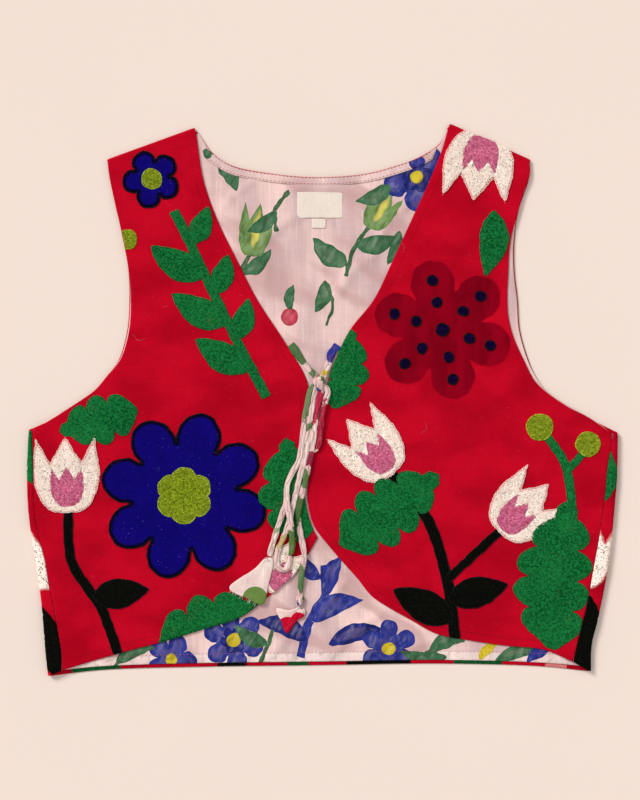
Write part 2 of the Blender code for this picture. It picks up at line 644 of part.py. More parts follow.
def front_outline(side):
    sign = SIGN[side]
    outer, neck, _ = shoulder_line(side, SHOULDER_REACH - SHOULDER_TURN)
    fold_at, fold_end, outward = shoulder_line(side, SHOULDER_REACH)
    armhole_end = [fold_at + outward * past for past in SHOULDER_STEPS[:0:-1]]
    neck_end = [fold_end + outward * past for past in SHOULDER_STEPS[1:]]
    armhole = armhole_end + list(smooth_curve([tuple(fold_at)] + FRONT_ARMHOLE[side], EDGE_STEP))
    seam = [(x - sign * GAP / 2, y) for x, y in smooth_curve(SEAM[side], EDGE_STEP)][1:]
    hem = smooth_curve([seam[-1]] + FRONT_HEM[side], EDGE_STEP)
    opening = smooth_curve([FRONT_HEM[side][-1]] + CENTRE_FRONT[side] + NECK_EDGE[side] + [tuple(fold_end)], EDGE_STEP)
    shoulder = smooth_curve([tuple(neck), tuple(outer)], EDGE_STEP)
    outline = joined(armhole, seam, hem, opening, neck_end, shoulder)
    return outline if side == "left" else outline[::-1]


def make_front(side):
    outline = front_outline(side)
    shapes = raised_shapes(side)
    fold_at, fold_end, outward = shoulder_line(side, SHOULDER_REACH)
    rows = [fold_at + (fold_end - fold_at) * t + outward * past
            for t in np.linspace(0.09, 0.91, 8)
            for past in SHOULDER_STEPS]
    rows = np.array(rows)
    rows = rows[depth_in(rows, outline) > 0.5]
    grid = spread(outline, 20.0, 6.0)
    grid = grid[(grid - fold_at) @ outward < -5]
    apart = np.array([distance_to(grid, shape, closed=True) > 4 for shape in shapes]).all(axis=0)
    outer_points = np.vstack([rows, grid[apart], ramp_points(shapes, outline)])
    return wall("front_" + side, outline, front_surface(side), COTTON, RED_COTTON, shapes=shapes,
                outer_points=outer_points, inner_points=np.vstack([rows, grid]))


def make_tie(name, route):
    """A rolled strip along its route, as a tube with closed ends."""
    line = smooth_curve(route, 2.6 * 2 * TIE_RADIUS)
    curve = bpy.data.curves.new(name, "CURVE")
    curve.dimensions = "3D"
    curve.bevel_depth = TIE_RADIUS * MM
    curve.bevel_resolution = 2
    curve.use_fill_caps = True
    spline = curve.splines.new("POLY")
    spline.points.add(len(line) - 1)
    for point, (x, y, z) in zip(spline.points, line):
        point.co = ((x - MIDDLE[0]) * MM, (y - MIDDLE[1]) * MM, z * MM, 1)
    obj = bpy.data.objects.new(name, curve)
    bpy.context.scene.collection.objects.link(obj)
    paint(obj, PINK_VOILE)
    return obj


def make_knot(name, centre, size, base):
    """A drawn-up knot: a ball flattened to its width, height and thickness, with a bound waist."""
    shell = bmesh.new()
    bmesh.ops.create_uvsphere(shell, u_segments=14, v_segments=9, radius=0.5)
    for vert in shell.verts:
        waist = 1 - 0.16 * math.exp(-((vert.co.y / 0.16) ** 2))
        vert.co.x *= waist
    points = [(centre[0] + size[0] * v.co.x, centre[1] + size[1] * v.co.y, base + size[2] * (v.co.z + 0.5))
              for v in shell.verts]
    faces = [tuple(v.index for v in face.verts) for face in shell.faces]
    shell.free()
    return make_object(name, points, faces, PINK_VOILE)


def make_flare(name, outline, base):
    """The opened end of a tie, folded in two and lying flat, with a little wave along it."""
    def surface(plan):
        wave = 0.35 * np.sin(plan[:, 0] / 5.5) * np.cos(plan[:, 1] / 9.0)
        return np.column_stack([plan, base + FLARE_LAYERS / 2 + 0.35 + wave])
    edge = joined(smooth_curve(outline + outline[:1], 5.0))
    inner = spread(edge, 7.0, 2.5)
    return wall(name, edge, surface, FLARE_LAYERS, PINK_VOILE, outer_points=inner, inner_points=inner)


def clear_scene():
    for obj in list(bpy.data.objects):
        bpy.data.objects.remove(obj, do_unlink=True)


def main():
    clear_scene()
    make_back()
    make_lining()
    make_neck_facing()
    make_label("neck_label", LABEL)
    make_label("size_tab", SIZE_TAB)
    make_front("left")
    make_front("right")
    for name, route in TIES.items():
        make_tie(name, route)
    make_knot("tie_knot", KNOT_CENTRE, KNOT_SIZE, FRONT_TOP + GAP / 2)
    make_knot("tie_end_knot", END_KNOT_CENTRE, END_KNOT_SIZE, ON_LINING)
    make_flare("tie_flare_left", FLARE_LEFT, FRONT_TOP + GAP)
    make_flare("tie_flare_right", FLARE_RIGHT, ON_LINING)


main()
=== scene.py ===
"""Looks of the short embroidered vest: finishes, stitching, soft creases and ties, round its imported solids.

Sizes and places are millimetres in the flat vest's own plan until add_mesh turns them into metres. +X is
the viewer's right, +Y runs towards the neck and +Z is up out of the fronts.
"""

import json
import math
from collections import namedtuple

import bpy
import numpy as np
from mathutils import Vector
from mathutils.geometry import delaunay_2d_cdt
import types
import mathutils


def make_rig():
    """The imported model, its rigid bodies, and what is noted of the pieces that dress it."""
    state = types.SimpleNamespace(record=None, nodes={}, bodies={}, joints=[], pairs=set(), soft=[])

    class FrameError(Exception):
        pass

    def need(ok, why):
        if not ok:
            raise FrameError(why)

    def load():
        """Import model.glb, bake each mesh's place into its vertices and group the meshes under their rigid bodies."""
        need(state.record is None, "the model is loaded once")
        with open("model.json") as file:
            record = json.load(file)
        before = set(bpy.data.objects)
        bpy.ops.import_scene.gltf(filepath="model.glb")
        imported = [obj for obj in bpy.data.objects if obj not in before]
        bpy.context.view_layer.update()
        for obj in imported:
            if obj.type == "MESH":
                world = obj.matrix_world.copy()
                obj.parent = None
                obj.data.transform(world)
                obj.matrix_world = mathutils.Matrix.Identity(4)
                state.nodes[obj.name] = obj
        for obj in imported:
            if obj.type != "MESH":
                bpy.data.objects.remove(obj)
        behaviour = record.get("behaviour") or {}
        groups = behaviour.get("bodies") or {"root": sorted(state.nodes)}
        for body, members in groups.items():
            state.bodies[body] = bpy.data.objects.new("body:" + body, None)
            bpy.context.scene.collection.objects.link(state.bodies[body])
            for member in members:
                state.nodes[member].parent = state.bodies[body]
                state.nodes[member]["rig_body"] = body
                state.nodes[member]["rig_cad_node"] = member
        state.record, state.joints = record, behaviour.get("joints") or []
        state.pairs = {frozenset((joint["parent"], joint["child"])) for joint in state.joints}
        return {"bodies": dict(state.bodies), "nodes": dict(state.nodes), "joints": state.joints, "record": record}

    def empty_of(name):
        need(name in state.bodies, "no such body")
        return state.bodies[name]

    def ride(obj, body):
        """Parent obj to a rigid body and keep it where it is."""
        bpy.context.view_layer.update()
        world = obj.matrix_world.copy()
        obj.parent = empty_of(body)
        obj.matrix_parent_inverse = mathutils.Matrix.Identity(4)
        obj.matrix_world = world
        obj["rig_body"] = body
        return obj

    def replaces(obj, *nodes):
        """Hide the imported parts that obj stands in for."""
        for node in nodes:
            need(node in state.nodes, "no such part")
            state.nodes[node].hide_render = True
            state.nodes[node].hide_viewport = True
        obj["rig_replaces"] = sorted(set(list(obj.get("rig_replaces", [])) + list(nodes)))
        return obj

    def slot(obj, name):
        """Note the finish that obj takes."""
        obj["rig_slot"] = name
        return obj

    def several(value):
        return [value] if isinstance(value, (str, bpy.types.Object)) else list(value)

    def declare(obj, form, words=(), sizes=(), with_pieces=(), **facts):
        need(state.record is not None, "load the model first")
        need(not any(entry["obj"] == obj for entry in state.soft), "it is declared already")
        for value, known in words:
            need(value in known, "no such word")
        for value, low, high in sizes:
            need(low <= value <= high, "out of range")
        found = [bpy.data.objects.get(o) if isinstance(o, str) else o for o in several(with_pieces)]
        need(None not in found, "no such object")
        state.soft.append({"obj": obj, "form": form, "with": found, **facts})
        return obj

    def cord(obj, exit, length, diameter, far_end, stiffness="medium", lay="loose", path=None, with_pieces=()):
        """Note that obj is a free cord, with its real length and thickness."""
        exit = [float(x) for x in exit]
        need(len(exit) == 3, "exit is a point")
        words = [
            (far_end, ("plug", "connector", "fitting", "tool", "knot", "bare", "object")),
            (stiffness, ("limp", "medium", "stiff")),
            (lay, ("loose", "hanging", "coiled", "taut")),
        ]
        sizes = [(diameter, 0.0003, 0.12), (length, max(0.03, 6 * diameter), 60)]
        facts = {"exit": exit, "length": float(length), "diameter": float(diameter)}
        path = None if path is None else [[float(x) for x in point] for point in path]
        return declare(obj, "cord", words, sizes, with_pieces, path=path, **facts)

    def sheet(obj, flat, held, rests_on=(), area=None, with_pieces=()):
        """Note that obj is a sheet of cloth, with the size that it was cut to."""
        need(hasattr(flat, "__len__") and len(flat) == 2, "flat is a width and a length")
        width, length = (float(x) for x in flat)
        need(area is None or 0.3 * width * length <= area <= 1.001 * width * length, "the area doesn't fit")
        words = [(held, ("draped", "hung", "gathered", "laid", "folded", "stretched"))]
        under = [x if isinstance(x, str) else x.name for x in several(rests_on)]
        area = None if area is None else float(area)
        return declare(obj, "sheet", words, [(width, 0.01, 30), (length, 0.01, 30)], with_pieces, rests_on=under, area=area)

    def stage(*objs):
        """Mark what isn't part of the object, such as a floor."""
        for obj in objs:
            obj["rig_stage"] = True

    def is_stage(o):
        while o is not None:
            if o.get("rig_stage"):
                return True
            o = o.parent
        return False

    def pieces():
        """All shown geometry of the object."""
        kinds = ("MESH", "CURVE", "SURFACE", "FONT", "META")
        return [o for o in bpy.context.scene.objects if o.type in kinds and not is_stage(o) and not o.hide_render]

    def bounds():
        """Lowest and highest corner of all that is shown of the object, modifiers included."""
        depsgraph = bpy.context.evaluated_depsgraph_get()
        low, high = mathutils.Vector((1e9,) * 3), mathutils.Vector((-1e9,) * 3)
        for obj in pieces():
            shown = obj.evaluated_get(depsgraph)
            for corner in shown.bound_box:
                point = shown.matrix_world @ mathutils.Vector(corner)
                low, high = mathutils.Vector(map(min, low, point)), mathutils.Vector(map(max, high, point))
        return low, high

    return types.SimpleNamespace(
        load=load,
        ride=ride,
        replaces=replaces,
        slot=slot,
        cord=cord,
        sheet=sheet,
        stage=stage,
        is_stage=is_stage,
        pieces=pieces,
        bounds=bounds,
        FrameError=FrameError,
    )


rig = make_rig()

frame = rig.load()
cad_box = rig.bounds()

MM = 0.001

# The photograph's frame, and what it covers at the cloth
PHOTO_WIDTH = 640
PHOTO_HEIGHT = 800
MM_PER_PIXEL = 0.93
PHOTO_ORIGIN = (322, 401)
CAMERA_HEIGHT = 2200.0
SENSOR = 36.0

# Light: the brightness that the even light and the soft key from the upper left each give white cloth
EVEN_LIGHT = 0.72
KEY_LIGHT = 0.49
KEY_FROM = (-0.66, 0.62, 0.66)
KEY_SOFTNESS = 20.0

# Cloth and layers
COTTON = 1.2
VOILE = 1.0
GAP = 0.3
RELIEF = 1.0
RELIEF_RAMP = 1.8
VALLEY = 0.45
BACK_MID = COTTON / 2
LINING_MID = COTTON + GAP + VOILE / 2
ON_LINING = COTTON + GAP + VOILE + GAP
FRONT_MID = ON_LINING + COTTON / 2
FRONT_TOP = ON_LINING + COTTON + RELIEF

# Turns: the radius of the cloth's middle where the back turns up at a side, or a front down at a shoulder
SIDE_FOLD = 2.4
SHOULDER_FOLD = 2.2
SHOULDER_DROP = 0.85
SEAM_RISE = BACK_MID + 2 * SIDE_FOLD - FRONT_MID
SEAM_RISE_WIDTH = 30.0
STRIP_TURN = math.pi * SIDE_FOLD
SHOULDER_REACH = SHOULDER_FOLD + COTTON / 2
SHOULDER_TURN = math.pi / 2 * SHOULDER_FOLD + SHOULDER_DROP
SHOULDER_STEPS = (0, SHOULDER_FOLD * math.pi / 4, SHOULDER_FOLD * math.pi / 2)
TURN_PARTS = (0, 0.125, 0.25, 0.375, 0.5, 0.625, 0.75, 0.875, 1)

# Edges: how far in they are rounded, the share of the thickness at the rim, and the rings of points there
EDGE_STEP = 3.0
EDGE_ROUND = 1.5
EDGE_THIN = 0.3
EDGE_RINGS = (0.35, 0.9, EDGE_ROUND * 1.1)
MOTIF_RING = 0.4
LINING_HEM_INSET = 3.5
LINING_SHOULDER_INSET = 3.4
FACING_WIDTH = 8.0
FACING_ENDS = ((-112.2, 108.8), (-110.5, 105.5))

# Points over a panel: the spacing of plain cloth, that of a motif, and how far both stay from the edge
FRONT_GRID = (3.0, 1.35, 2.4)
BACK_GRID = (6.0, 3.2, 3.0)
LINING_GRID = (4.5, 2.6, 3.5)
FACING_GRID = (2.4, 2.0, 1.4)
LABEL_GRID = (1.8, 1.5, 1.0)
FLARE_GRID = (2.0, 1.6, 1.2)

# Curves: the parts of each stretch, and the steps and swells of a line cut or stitched by hand
CURVE_PARTS = 24
WANDER_STEP = 1.6
WANDER_SIZE = 9.0

# Stitching
CHAIN_ROW = 2.1
CHAIN_LINK = 3.0
TOPSTITCH = 2.6
TOPSTITCH_GAP = 0.9
THREAD_TWIST = 1.5
TOPSTITCH_INSET = 7.5
TOPSTITCH_CLEAR = 11.0

# The middle of the vest's outline, which becomes the origin
MIDDLE = (0.42, 1.2)

# Outlines in plan, each a row of x, y
ARMHOLE = {
    "left": [(-197, 205), (-191, 178), (-185, 150), (-180, 122), (-179, 94), (-181, 66), (-189, 38),
             (-199, 24), (-211, 10), (-231, -4), (-253, -18), (-269, -25.5)],
    "right": [(192, 205), (183, 178), (179, 150), (179, 122), (182, 94), (184, 66), (192, 38), (198, 24),
              (208, 10), (227, -4), (252, -18), (272, -28)],
}
SIDE = {
    "left": [(-272, -20), (-274, -64), (-273, -101), (-268, -139), (-261, -185), (-257, -232), (-254, -262)],
    "right": [(275, -20), (274, -74), (272, -97), (268, -139), (262, -176), (256, -204), (250.5, -227),
              (250, -260)],
}
SEAM = {
    "left": [(-269, -29.5), (-268, -60), (-267, -100), (-263, -125), (-257, -148), (-253, -173), (-250, -185),
             (-245, -214), (-242, -232), (-241.5, -250)],
    "right": [(269.5, -34), (264.5, -64), (263, -83), (261, -100), (257, -127), (251, -160), (246, -188),
              (236, -228), (233, -242)],
}
SIDE_CORNER = {"left": (-254, -255.5), "right": (251, -251)}
BACK_HEM = [(-206, -250), (-113, -247), (-2, -245.5), (110, -244), (203, -246.5)]
BACK_NECK = [(-116, 246), (-101, 230), (-84, 219), (-44, 211), (-4, 208), (39, 211), (67, 218), (91, 227),
             (110, 240), (116, 251)]
SHOULDER = {"left": [(-200, 224.5), (-118.5, 254.1)], "right": [(194, 224.2), (119, 257.9)]}
FRONT_ARMHOLE = {
    "left": [(-198, 212), (-191, 178), (-184, 150), (-179, 122), (-177.5, 94), (-179, 66), (-187.5, 38),
             (-199, 24), (-211, 10), (-231, -4), (-253, -18), (-268.5, -27)],
    "right": [(193, 210), (187, 193), (181, 172), (175, 148), (173, 120), (172.5, 84), (177, 62), (187.5, 38),
              (199, 17), (226, -4), (247, -15), (269, -30)],
}
FRONT_HEM = {
    "left": [(-208, -240), (-176, -231), (-142, -222), (-110, -212), (-76, -201), (-55, -186), (-23, -158),
             (-4, -127)],
    "right": [(206, -231), (169, -227), (135, -222), (106, -216), (82, -203), (64, -193), (46, -181),
              (33, -165), (17, -147), (0, -127)],
}
CENTRE_FRONT = {
    "left": [(-10, -115), (-15.6, -90), (-13.5, -64), (-12, -43), (-12, -20), (-12.5, 2)],
    "right": [(-8, -115), (-13.6, -90), (-11, -64), (-8, -43), (-2, -22), (3, 0)],
}
NECK_EDGE = {
    "left": [(-14, 19), (-34, 54), (-60, 94), (-79, 131), (-97, 168), (-110, 205), (-115, 235), (-117, 250)],
    "right": [(6.5, 22), (14, 42), (26, 66), (48, 94), (66, 131), (83, 168), (100, 205), (112, 235),
              (117, 253)],
}
SIGN = {"left": -1, "right": 1}

Fold = namedtuple("Fold", "x1 y1 x2 y2 height width")


def folds(*rows):
    return [Fold(*row) for row in rows]
# The fronts' main folds, and after them their small creases
FRONT_FOLDS = {
    "left": folds(
        (-165, 74, -70, 18, 2.0, 15), (-78, 92, -34, 6, 1.5, 10), (-252, -70, -176, -10, 1.8, 14),
        (-238, -196, -150, -176, 1.6, 16), (-88, -20, -76, -128, 1.4, 12),
        (-186, 196, -132, 168, 0.8, 5), (-150, 120, -104, 134, 0.7, 6), (-176, 52, -132, 44, 0.8, 5),
        (-120, 26, -60, -8, 0.9, 6), (-216, -36, -190, -84, 0.7, 6), (-262, -112, -206, -124, 0.8, 7),
        (-110, -140, -88, -206, 0.7, 6), (-190, -206, -120, -192, 0.7, 7), (-66, 72, -42, 40, 0.6, 4),
        (-250, -222, -214, -208, 0.6, 5), (-98, 196, -122, 232, 0.6, 5),
    ),
    "right": folds(
        (78, 138, 160, 112, 2.1, 14), (44, 46, 150, 6, 1.8, 16), (238, -60, 212, -190, 2.2, 14),
        (40, -90, 96, -176, 1.5, 14), (110, 232, 134, 176, 1.5, 10), (96, 156, 128, 138, 0.7, 6),
        (160, 122, 120, 96, 0.8, 6), (60, 96, 112, 76, 0.7, 7), (64, 30, 132, 2, 0.8, 6),
        (174, 44, 146, 26, 0.7, 5), (206, -14, 236, -76, 0.8, 6), (120, -40, 188, -72, 0.7, 8),
        (250, -104, 196, -132, 0.8, 7), (74, -116, 98, -196, 0.7, 6), (150, -206, 226, -196, 0.8, 8),
        (168, 204, 146, 160, 0.7, 5),
    ),
}

# How far the plain cloth of the back's underside lies above its embroidery
BACK_CLEAR = 0.35

LINING_PUCKERS = folds(
    (-68, 190, -52, 112, 1.0, 6), (-30, 166, -24, 70, 0.9, 7), (24, 186, 16, 96, 1.1, 6),
    (62, 192, 44, 122, 0.9, 7), (-2, 140, -6, 88, 0.8, 5), (82, 198, 70, 160, 0.8, 5),
    (10, -236, -4, -176, 1.0, 7), (44, -236, 30, -196, 0.9, 6), (-70, -236, -60, -212, 0.8, 6),
    (92, -238, 84, -222, 0.7, 6), (16, -166, 92, -228, 1.8, 5), (12, -234, 58, -196, 1.7, 5),
    (-4, -204, 26, -164, 1.5, 4.5), (60, -238, 118, -222, 1.5, 4.5), (-104, -238, -60, -206, 1.5, 5),
    (-50, -240, -14, -208, 1.2, 4.5), (-76, 128, -22, 172, 1.7, 6), (8, 92, 54, 142, 1.6, 6),
    (-30, 198, 44, 190, 1.2, 5), (52, 148, 86, 190, 1.3, 5), (-92, 180, -60, 206, 1.2, 5),
    (-40, 92, -12, 60, 1.2, 5),
)
BACK_TROUGHS = folds(
    (-190, 120, -40, 60, 0.55, 14), (30, 110, 170, 40, 0.6, 16), (-230, -40, -110, -120, 0.6, 15),
    (-60, -60, 40, -170, 0.5, 12), (90, -40, 230, -90, 0.6, 16), (120, -150, 210, -230, 0.5, 12),
    (-200, -170, -120, -235, 0.5, 12), (-20, 190, 10, 110, 0.45, 9),
)

# Motifs, each row covering those before it
Rosette = namedtuple("Rosette", "x y radius petals turn notch")
Leaf = namedtuple("Leaf", "x y length width turn bow")
LobedLeaf = namedtuple("LobedLeaf", "x y length width turn lobes bow")
Tulip = namedtuple("Tulip", "x y height width turn")
Stem = namedtuple("Stem", "width route")
Disc = namedtuple("Disc", "x y radius")
Motif = namedtuple("Motif", "finish shape")
EMBROIDERY = {
    "left": [
        Motif("green", Stem(8, [(-52, 4), (-84, 66), (-112, 124), (-137, 176)])),
        Motif("green", Leaf(-66, 30, 58, 27, 152, 0.05)),
        Motif("green", Leaf(-88, 72, 58, 27, 152, 0.05)),
        Motif("green", Leaf(-108, 116, 58, 27, 152, 0.05)),
        Motif("green", Leaf(-80, 58, 38, 20, 72, -0.05)),
        Motif("green", Leaf(-100, 100, 38, 20, 70, -0.05)),
        Motif("green", Leaf(-122, 146, 38, 20, 64, -0.05)),
        Motif("blue", Rosette(-158, 206, 27, 5, 8, 0.36)),
        Motif("lime", Disc(-158, 206, 9)),
        Motif("lime", Disc(-181, 150, 9)),
        Motif("blue", Rosette(-128, -88, 78, 8, 8, 0.36)),
        Motif("lime", Rosette(-128, -88, 26, 6, 0, 0.2)),
        Motif("black", Stem(8, [(-188, -238), (-206, -190), (-232, -150), (-236, -96)])),
        Motif("white", Tulip(-236, -104, 70, 60, 92)),
        Motif("pink", Tulip(-236, -98, 36, 30, 92)),
        Motif("black", Leaf(-212, -182, 52, 27, 8, 0.0)),
        Motif("green", LobedLeaf(-150, -226, 100, 58, 22, 3, 0.0)),
        Motif("green", LobedLeaf(-20, -130, 96, 56, 98, 3, 0.05)),
        Motif("green", LobedLeaf(-172, -8, 74, 46, 196, 3, 0.0)),
        Motif("white", Tulip(-50, -176, 52, 46, 40)),
        Motif("pink", Tulip(-47, -173, 26, 22, 40)),
    ],
    "right": [
        Motif("dark_red", Rosette(112, 66, 66, 6, 12, 0.42)),
        Motif("black", Stem(9, [(124, -222), (116, -166), (96, -106), (62, -64)])),
        Motif("black", Stem(7, [(116, -166), (146, -138), (168, -118)])),
        Motif("white", Tulip(66, -68, 66, 58, 130)),
        Motif("pink", Tulip(63, -64, 34, 28, 130)),
        Motif("white", Tulip(164, -122, 64, 58, 44)),
        Motif("pink", Tulip(167, -119, 34, 28, 44)),
        Motif("black", Leaf(121, -204, 62, 30, 152, 0.0)),
        Motif("black", Leaf(118, -184, 56, 28, 14, 0.0)),
        Motif("green", LobedLeaf(214, -230, 138, 72, 84, 4, 0.05)),
        Motif("green", LobedLeaf(18, -134, 112, 60, 36, 4, 0.0)),
        Motif("green", Stem(7, [(232, -100), (226, -60), (204, -26)])),
        Motif("green", Stem(6, [(227, -66), (246, -44)])),
        Motif("lime", Disc(202, -24, 12)),
        Motif("lime", Disc(247, -40, 11)),
        Motif("white", Tulip(150, 252, 66, 64, 262)),
        Motif("pink", Tulip(150, 246, 34, 32, 262)),
        Motif("green", Leaf(160, 176, 60, 26, 262, 0.06)),
        Motif("green", LobedLeaf(12, -6, 74, 42, 78, 3, -0.05)),
    ],
    "back": [
        Motif("green", Stem(9, [(0, -240), (-8, -160), (10, -80), (0, 10)])),
        Motif("green", Stem(8, [(-6, -150), (-60, -110), (-120, -96)])),
        Motif("green", Stem(8, [(4, -110), (60, -70), (112, -58)])),
        Motif("blue", Rosette(0, 56, 74, 8, 0, 0.36)),
        Motif("lime", Rosette(0, 56, 25, 6, 10, 0.2)),
        Motif("white", Tulip(-120, -96, 70, 60, 150)),
        Motif("pink", Tulip(-123, -94, 36, 30, 150)),
        Motif("white", Tulip(112, -58, 70, 60, 30)),
        Motif("pink", Tulip(115, -56, 36, 30, 30)),
        Motif("green", LobedLeaf(-20, -236, 128, 70, 150, 4, 0.05)),
        Motif("green", LobedLeaf(24, -236, 128, 70, 34, 4, -0.05)),
        Motif("green", LobedLeaf(-150, 20, 96, 54, 80, 3, 0.0)),
        Motif("green", LobedLeaf(150, 20, 96, 54, 100, 3, 0.0)),
        Motif("green", Leaf(-284, -78, 60, 30, 86, 0.0)),
        Motif("white", Tulip(-262, -176, 66, 50, 96)),
        Motif("black", Leaf(-268, -258, 70, 30, 84, 0.0)),
        Motif("green", Leaf(292, -98, 56, 28, 96, 0.0)),
        Motif("white", Tulip(284, -176, 66, 44, 86)),
        Motif("black", Leaf(252, -258, 84, 34, 72, 0.0)),
    ],
}
DOTTED_FLOWER = Disc(112, 66, 6)
DOT_RADIUS = 4.8
DOT_RINGS = (26, 47)
DOT_TURN = 42

# The back's hem as it shows below the lining: stretches of x where a motif of the back wraps over the edge
HEM_WRAPS = [("green", -232, -188), ("black", -96, -70), ("green", -34, -12), ("black", 22, 82),
             ("green", 124, 168), ("white", 206, 228)]

# Printed sprigs of the lining
Print = namedtuple("Print", "ink shape")
LINING_PRINT = [
    Print("stalk", Stem(4.0, [(-74, 92), (-76, 116), (-66, 138)])),
    Print("leaf", Leaf(-77, 104, 44, 17, 128, 0.1)),
    Print("leaf", Leaf(-75, 118, 36, 14, 40, -0.1)),
    Print("bud", Tulip(-66, 134, 50, 30, 80)),
    Print("stripe", Leaf(-64, 142, 36, 8, 80, 0.0)),
    Print("stalk", Stem(4.0, [(-30, 196), (-44, 176), (-42, 158)])),
    Print("leaf", Leaf(-42, 176, 34, 14, 214, 0.1)),
    Print("stalk", Stem(4.0, [(22, 116), (30, 142), (44, 162)])),
    Print("leaf", Leaf(24, 126, 42, 19, 142, 0.08)),
    Print("leaf", Leaf(31, 144, 40, 18, 12, -0.08)),
    Print("bud", Tulip(44, 160, 42, 28, 58)),
    Print("stripe", Leaf(49, 167, 28, 7, 58, 0.0)),
    Print("spray", Rosette(88, 208, 32, 5, 20, 0.46)),
    Print("deep", Rosette(88, 208, 15, 5, 50, 0.3)),
    Print("yolk", Disc(88, 208, 6)),
    Print("leaf", Leaf(64, 200, 36, 15, 204, 0.1)),
    Print("leaf", Leaf(72, 158, 34, 14, 250, 0.1)),
    Print("leaf", Leaf(-96, 224, 34, 17, 300, 0.1)),
    Print("leaf", Leaf(4, 112, 32, 14, 250, 0.1)),
    Print("stalk", Stem(3.0, [(2, 112), (10, 90), (4, 70)])),
    Print("rose", Disc(-30, 78, 8)),
    Print("leaf", Leaf(-30, 84, 26, 10, 80, 0.1)),
    Print("spray", Stem(8, [(-20, -238), (-12, -206), (4, -176), (2, -152)])),
    Print("spray", Leaf(-10, -204, 52, 20, 22, 0.12)),
    Print("deep", Leaf(-14, -222, 50, 19, 160, -0.12)),
    Print("spray", Leaf(4, -180, 40, 17, 68, 0.1)),
    Print("deep", Leaf(6, -226, 58, 17, 12, 0.1)),
    Print("spray", Leaf(-2, -166, 30, 14, 128, 0.1)),
    Print("spray", Rosette(-82, -222, 29, 6, 10, 0.46)),
    Print("deep", Rosette(-82, -222, 13, 6, 40, 0.3)),
    Print("yolk", Disc(-82, -222, 6.5)),
    Print("spray", Rosette(-140, -240, 24, 5, 30, 0.46)),
    Print("yolk", Disc(-140, -240, 5.5)),
    Print("stalk", Stem(4.0, [(-58, -244), (-50, -226), (-46, -212)])),
    Print("leaf", Leaf(-50, -226, 36, 14, 150, 0.1)),
    Print("spray", Rosette(62, -230, 27, 6, 0, 0.46)),
    Print("yolk", Disc(62, -230, 6)),
    Print("stalk", Stem(4.0, [(86, -244), (104, -230), (132, -222)])),
    Print("leaf", Leaf(98, -234, 52, 15, 22, 0.1)),
    Print("leaf", Leaf(116, -238, 44, 14, 172, 0.1)),
    Print("yolk", Leaf(146, -240, 24, 9, 40, 0.1)),
    Print("leaf", Leaf(160, -243, 48, 13, 14, 0.1)),
    Print("spray", Leaf(190, -242, 34, 11, 26, 0.1)),
    Print("stalk", Stem(3.4, [(-196, -250), (-184, -238), (-170, -232)])),
    Print("leaf", Leaf(-192, -244, 40, 12, 22, 0.1)),
]
INKS = {"stalk": (74, 112, 76), "leaf": (66, 112, 78), "bud": (112, 146, 84), "stripe": (204, 194, 92),
        "spray": (46, 56, 142), "deep": (34, 42, 116), "yolk": (214, 190, 44), "rose": (196, 66, 84),
        "band": (255, 238, 230)}
# How much of the cloth an ink covers, where that isn't all of it: the band is the hem's doubled cloth
INK_AMOUNT = {"band": 0.5}

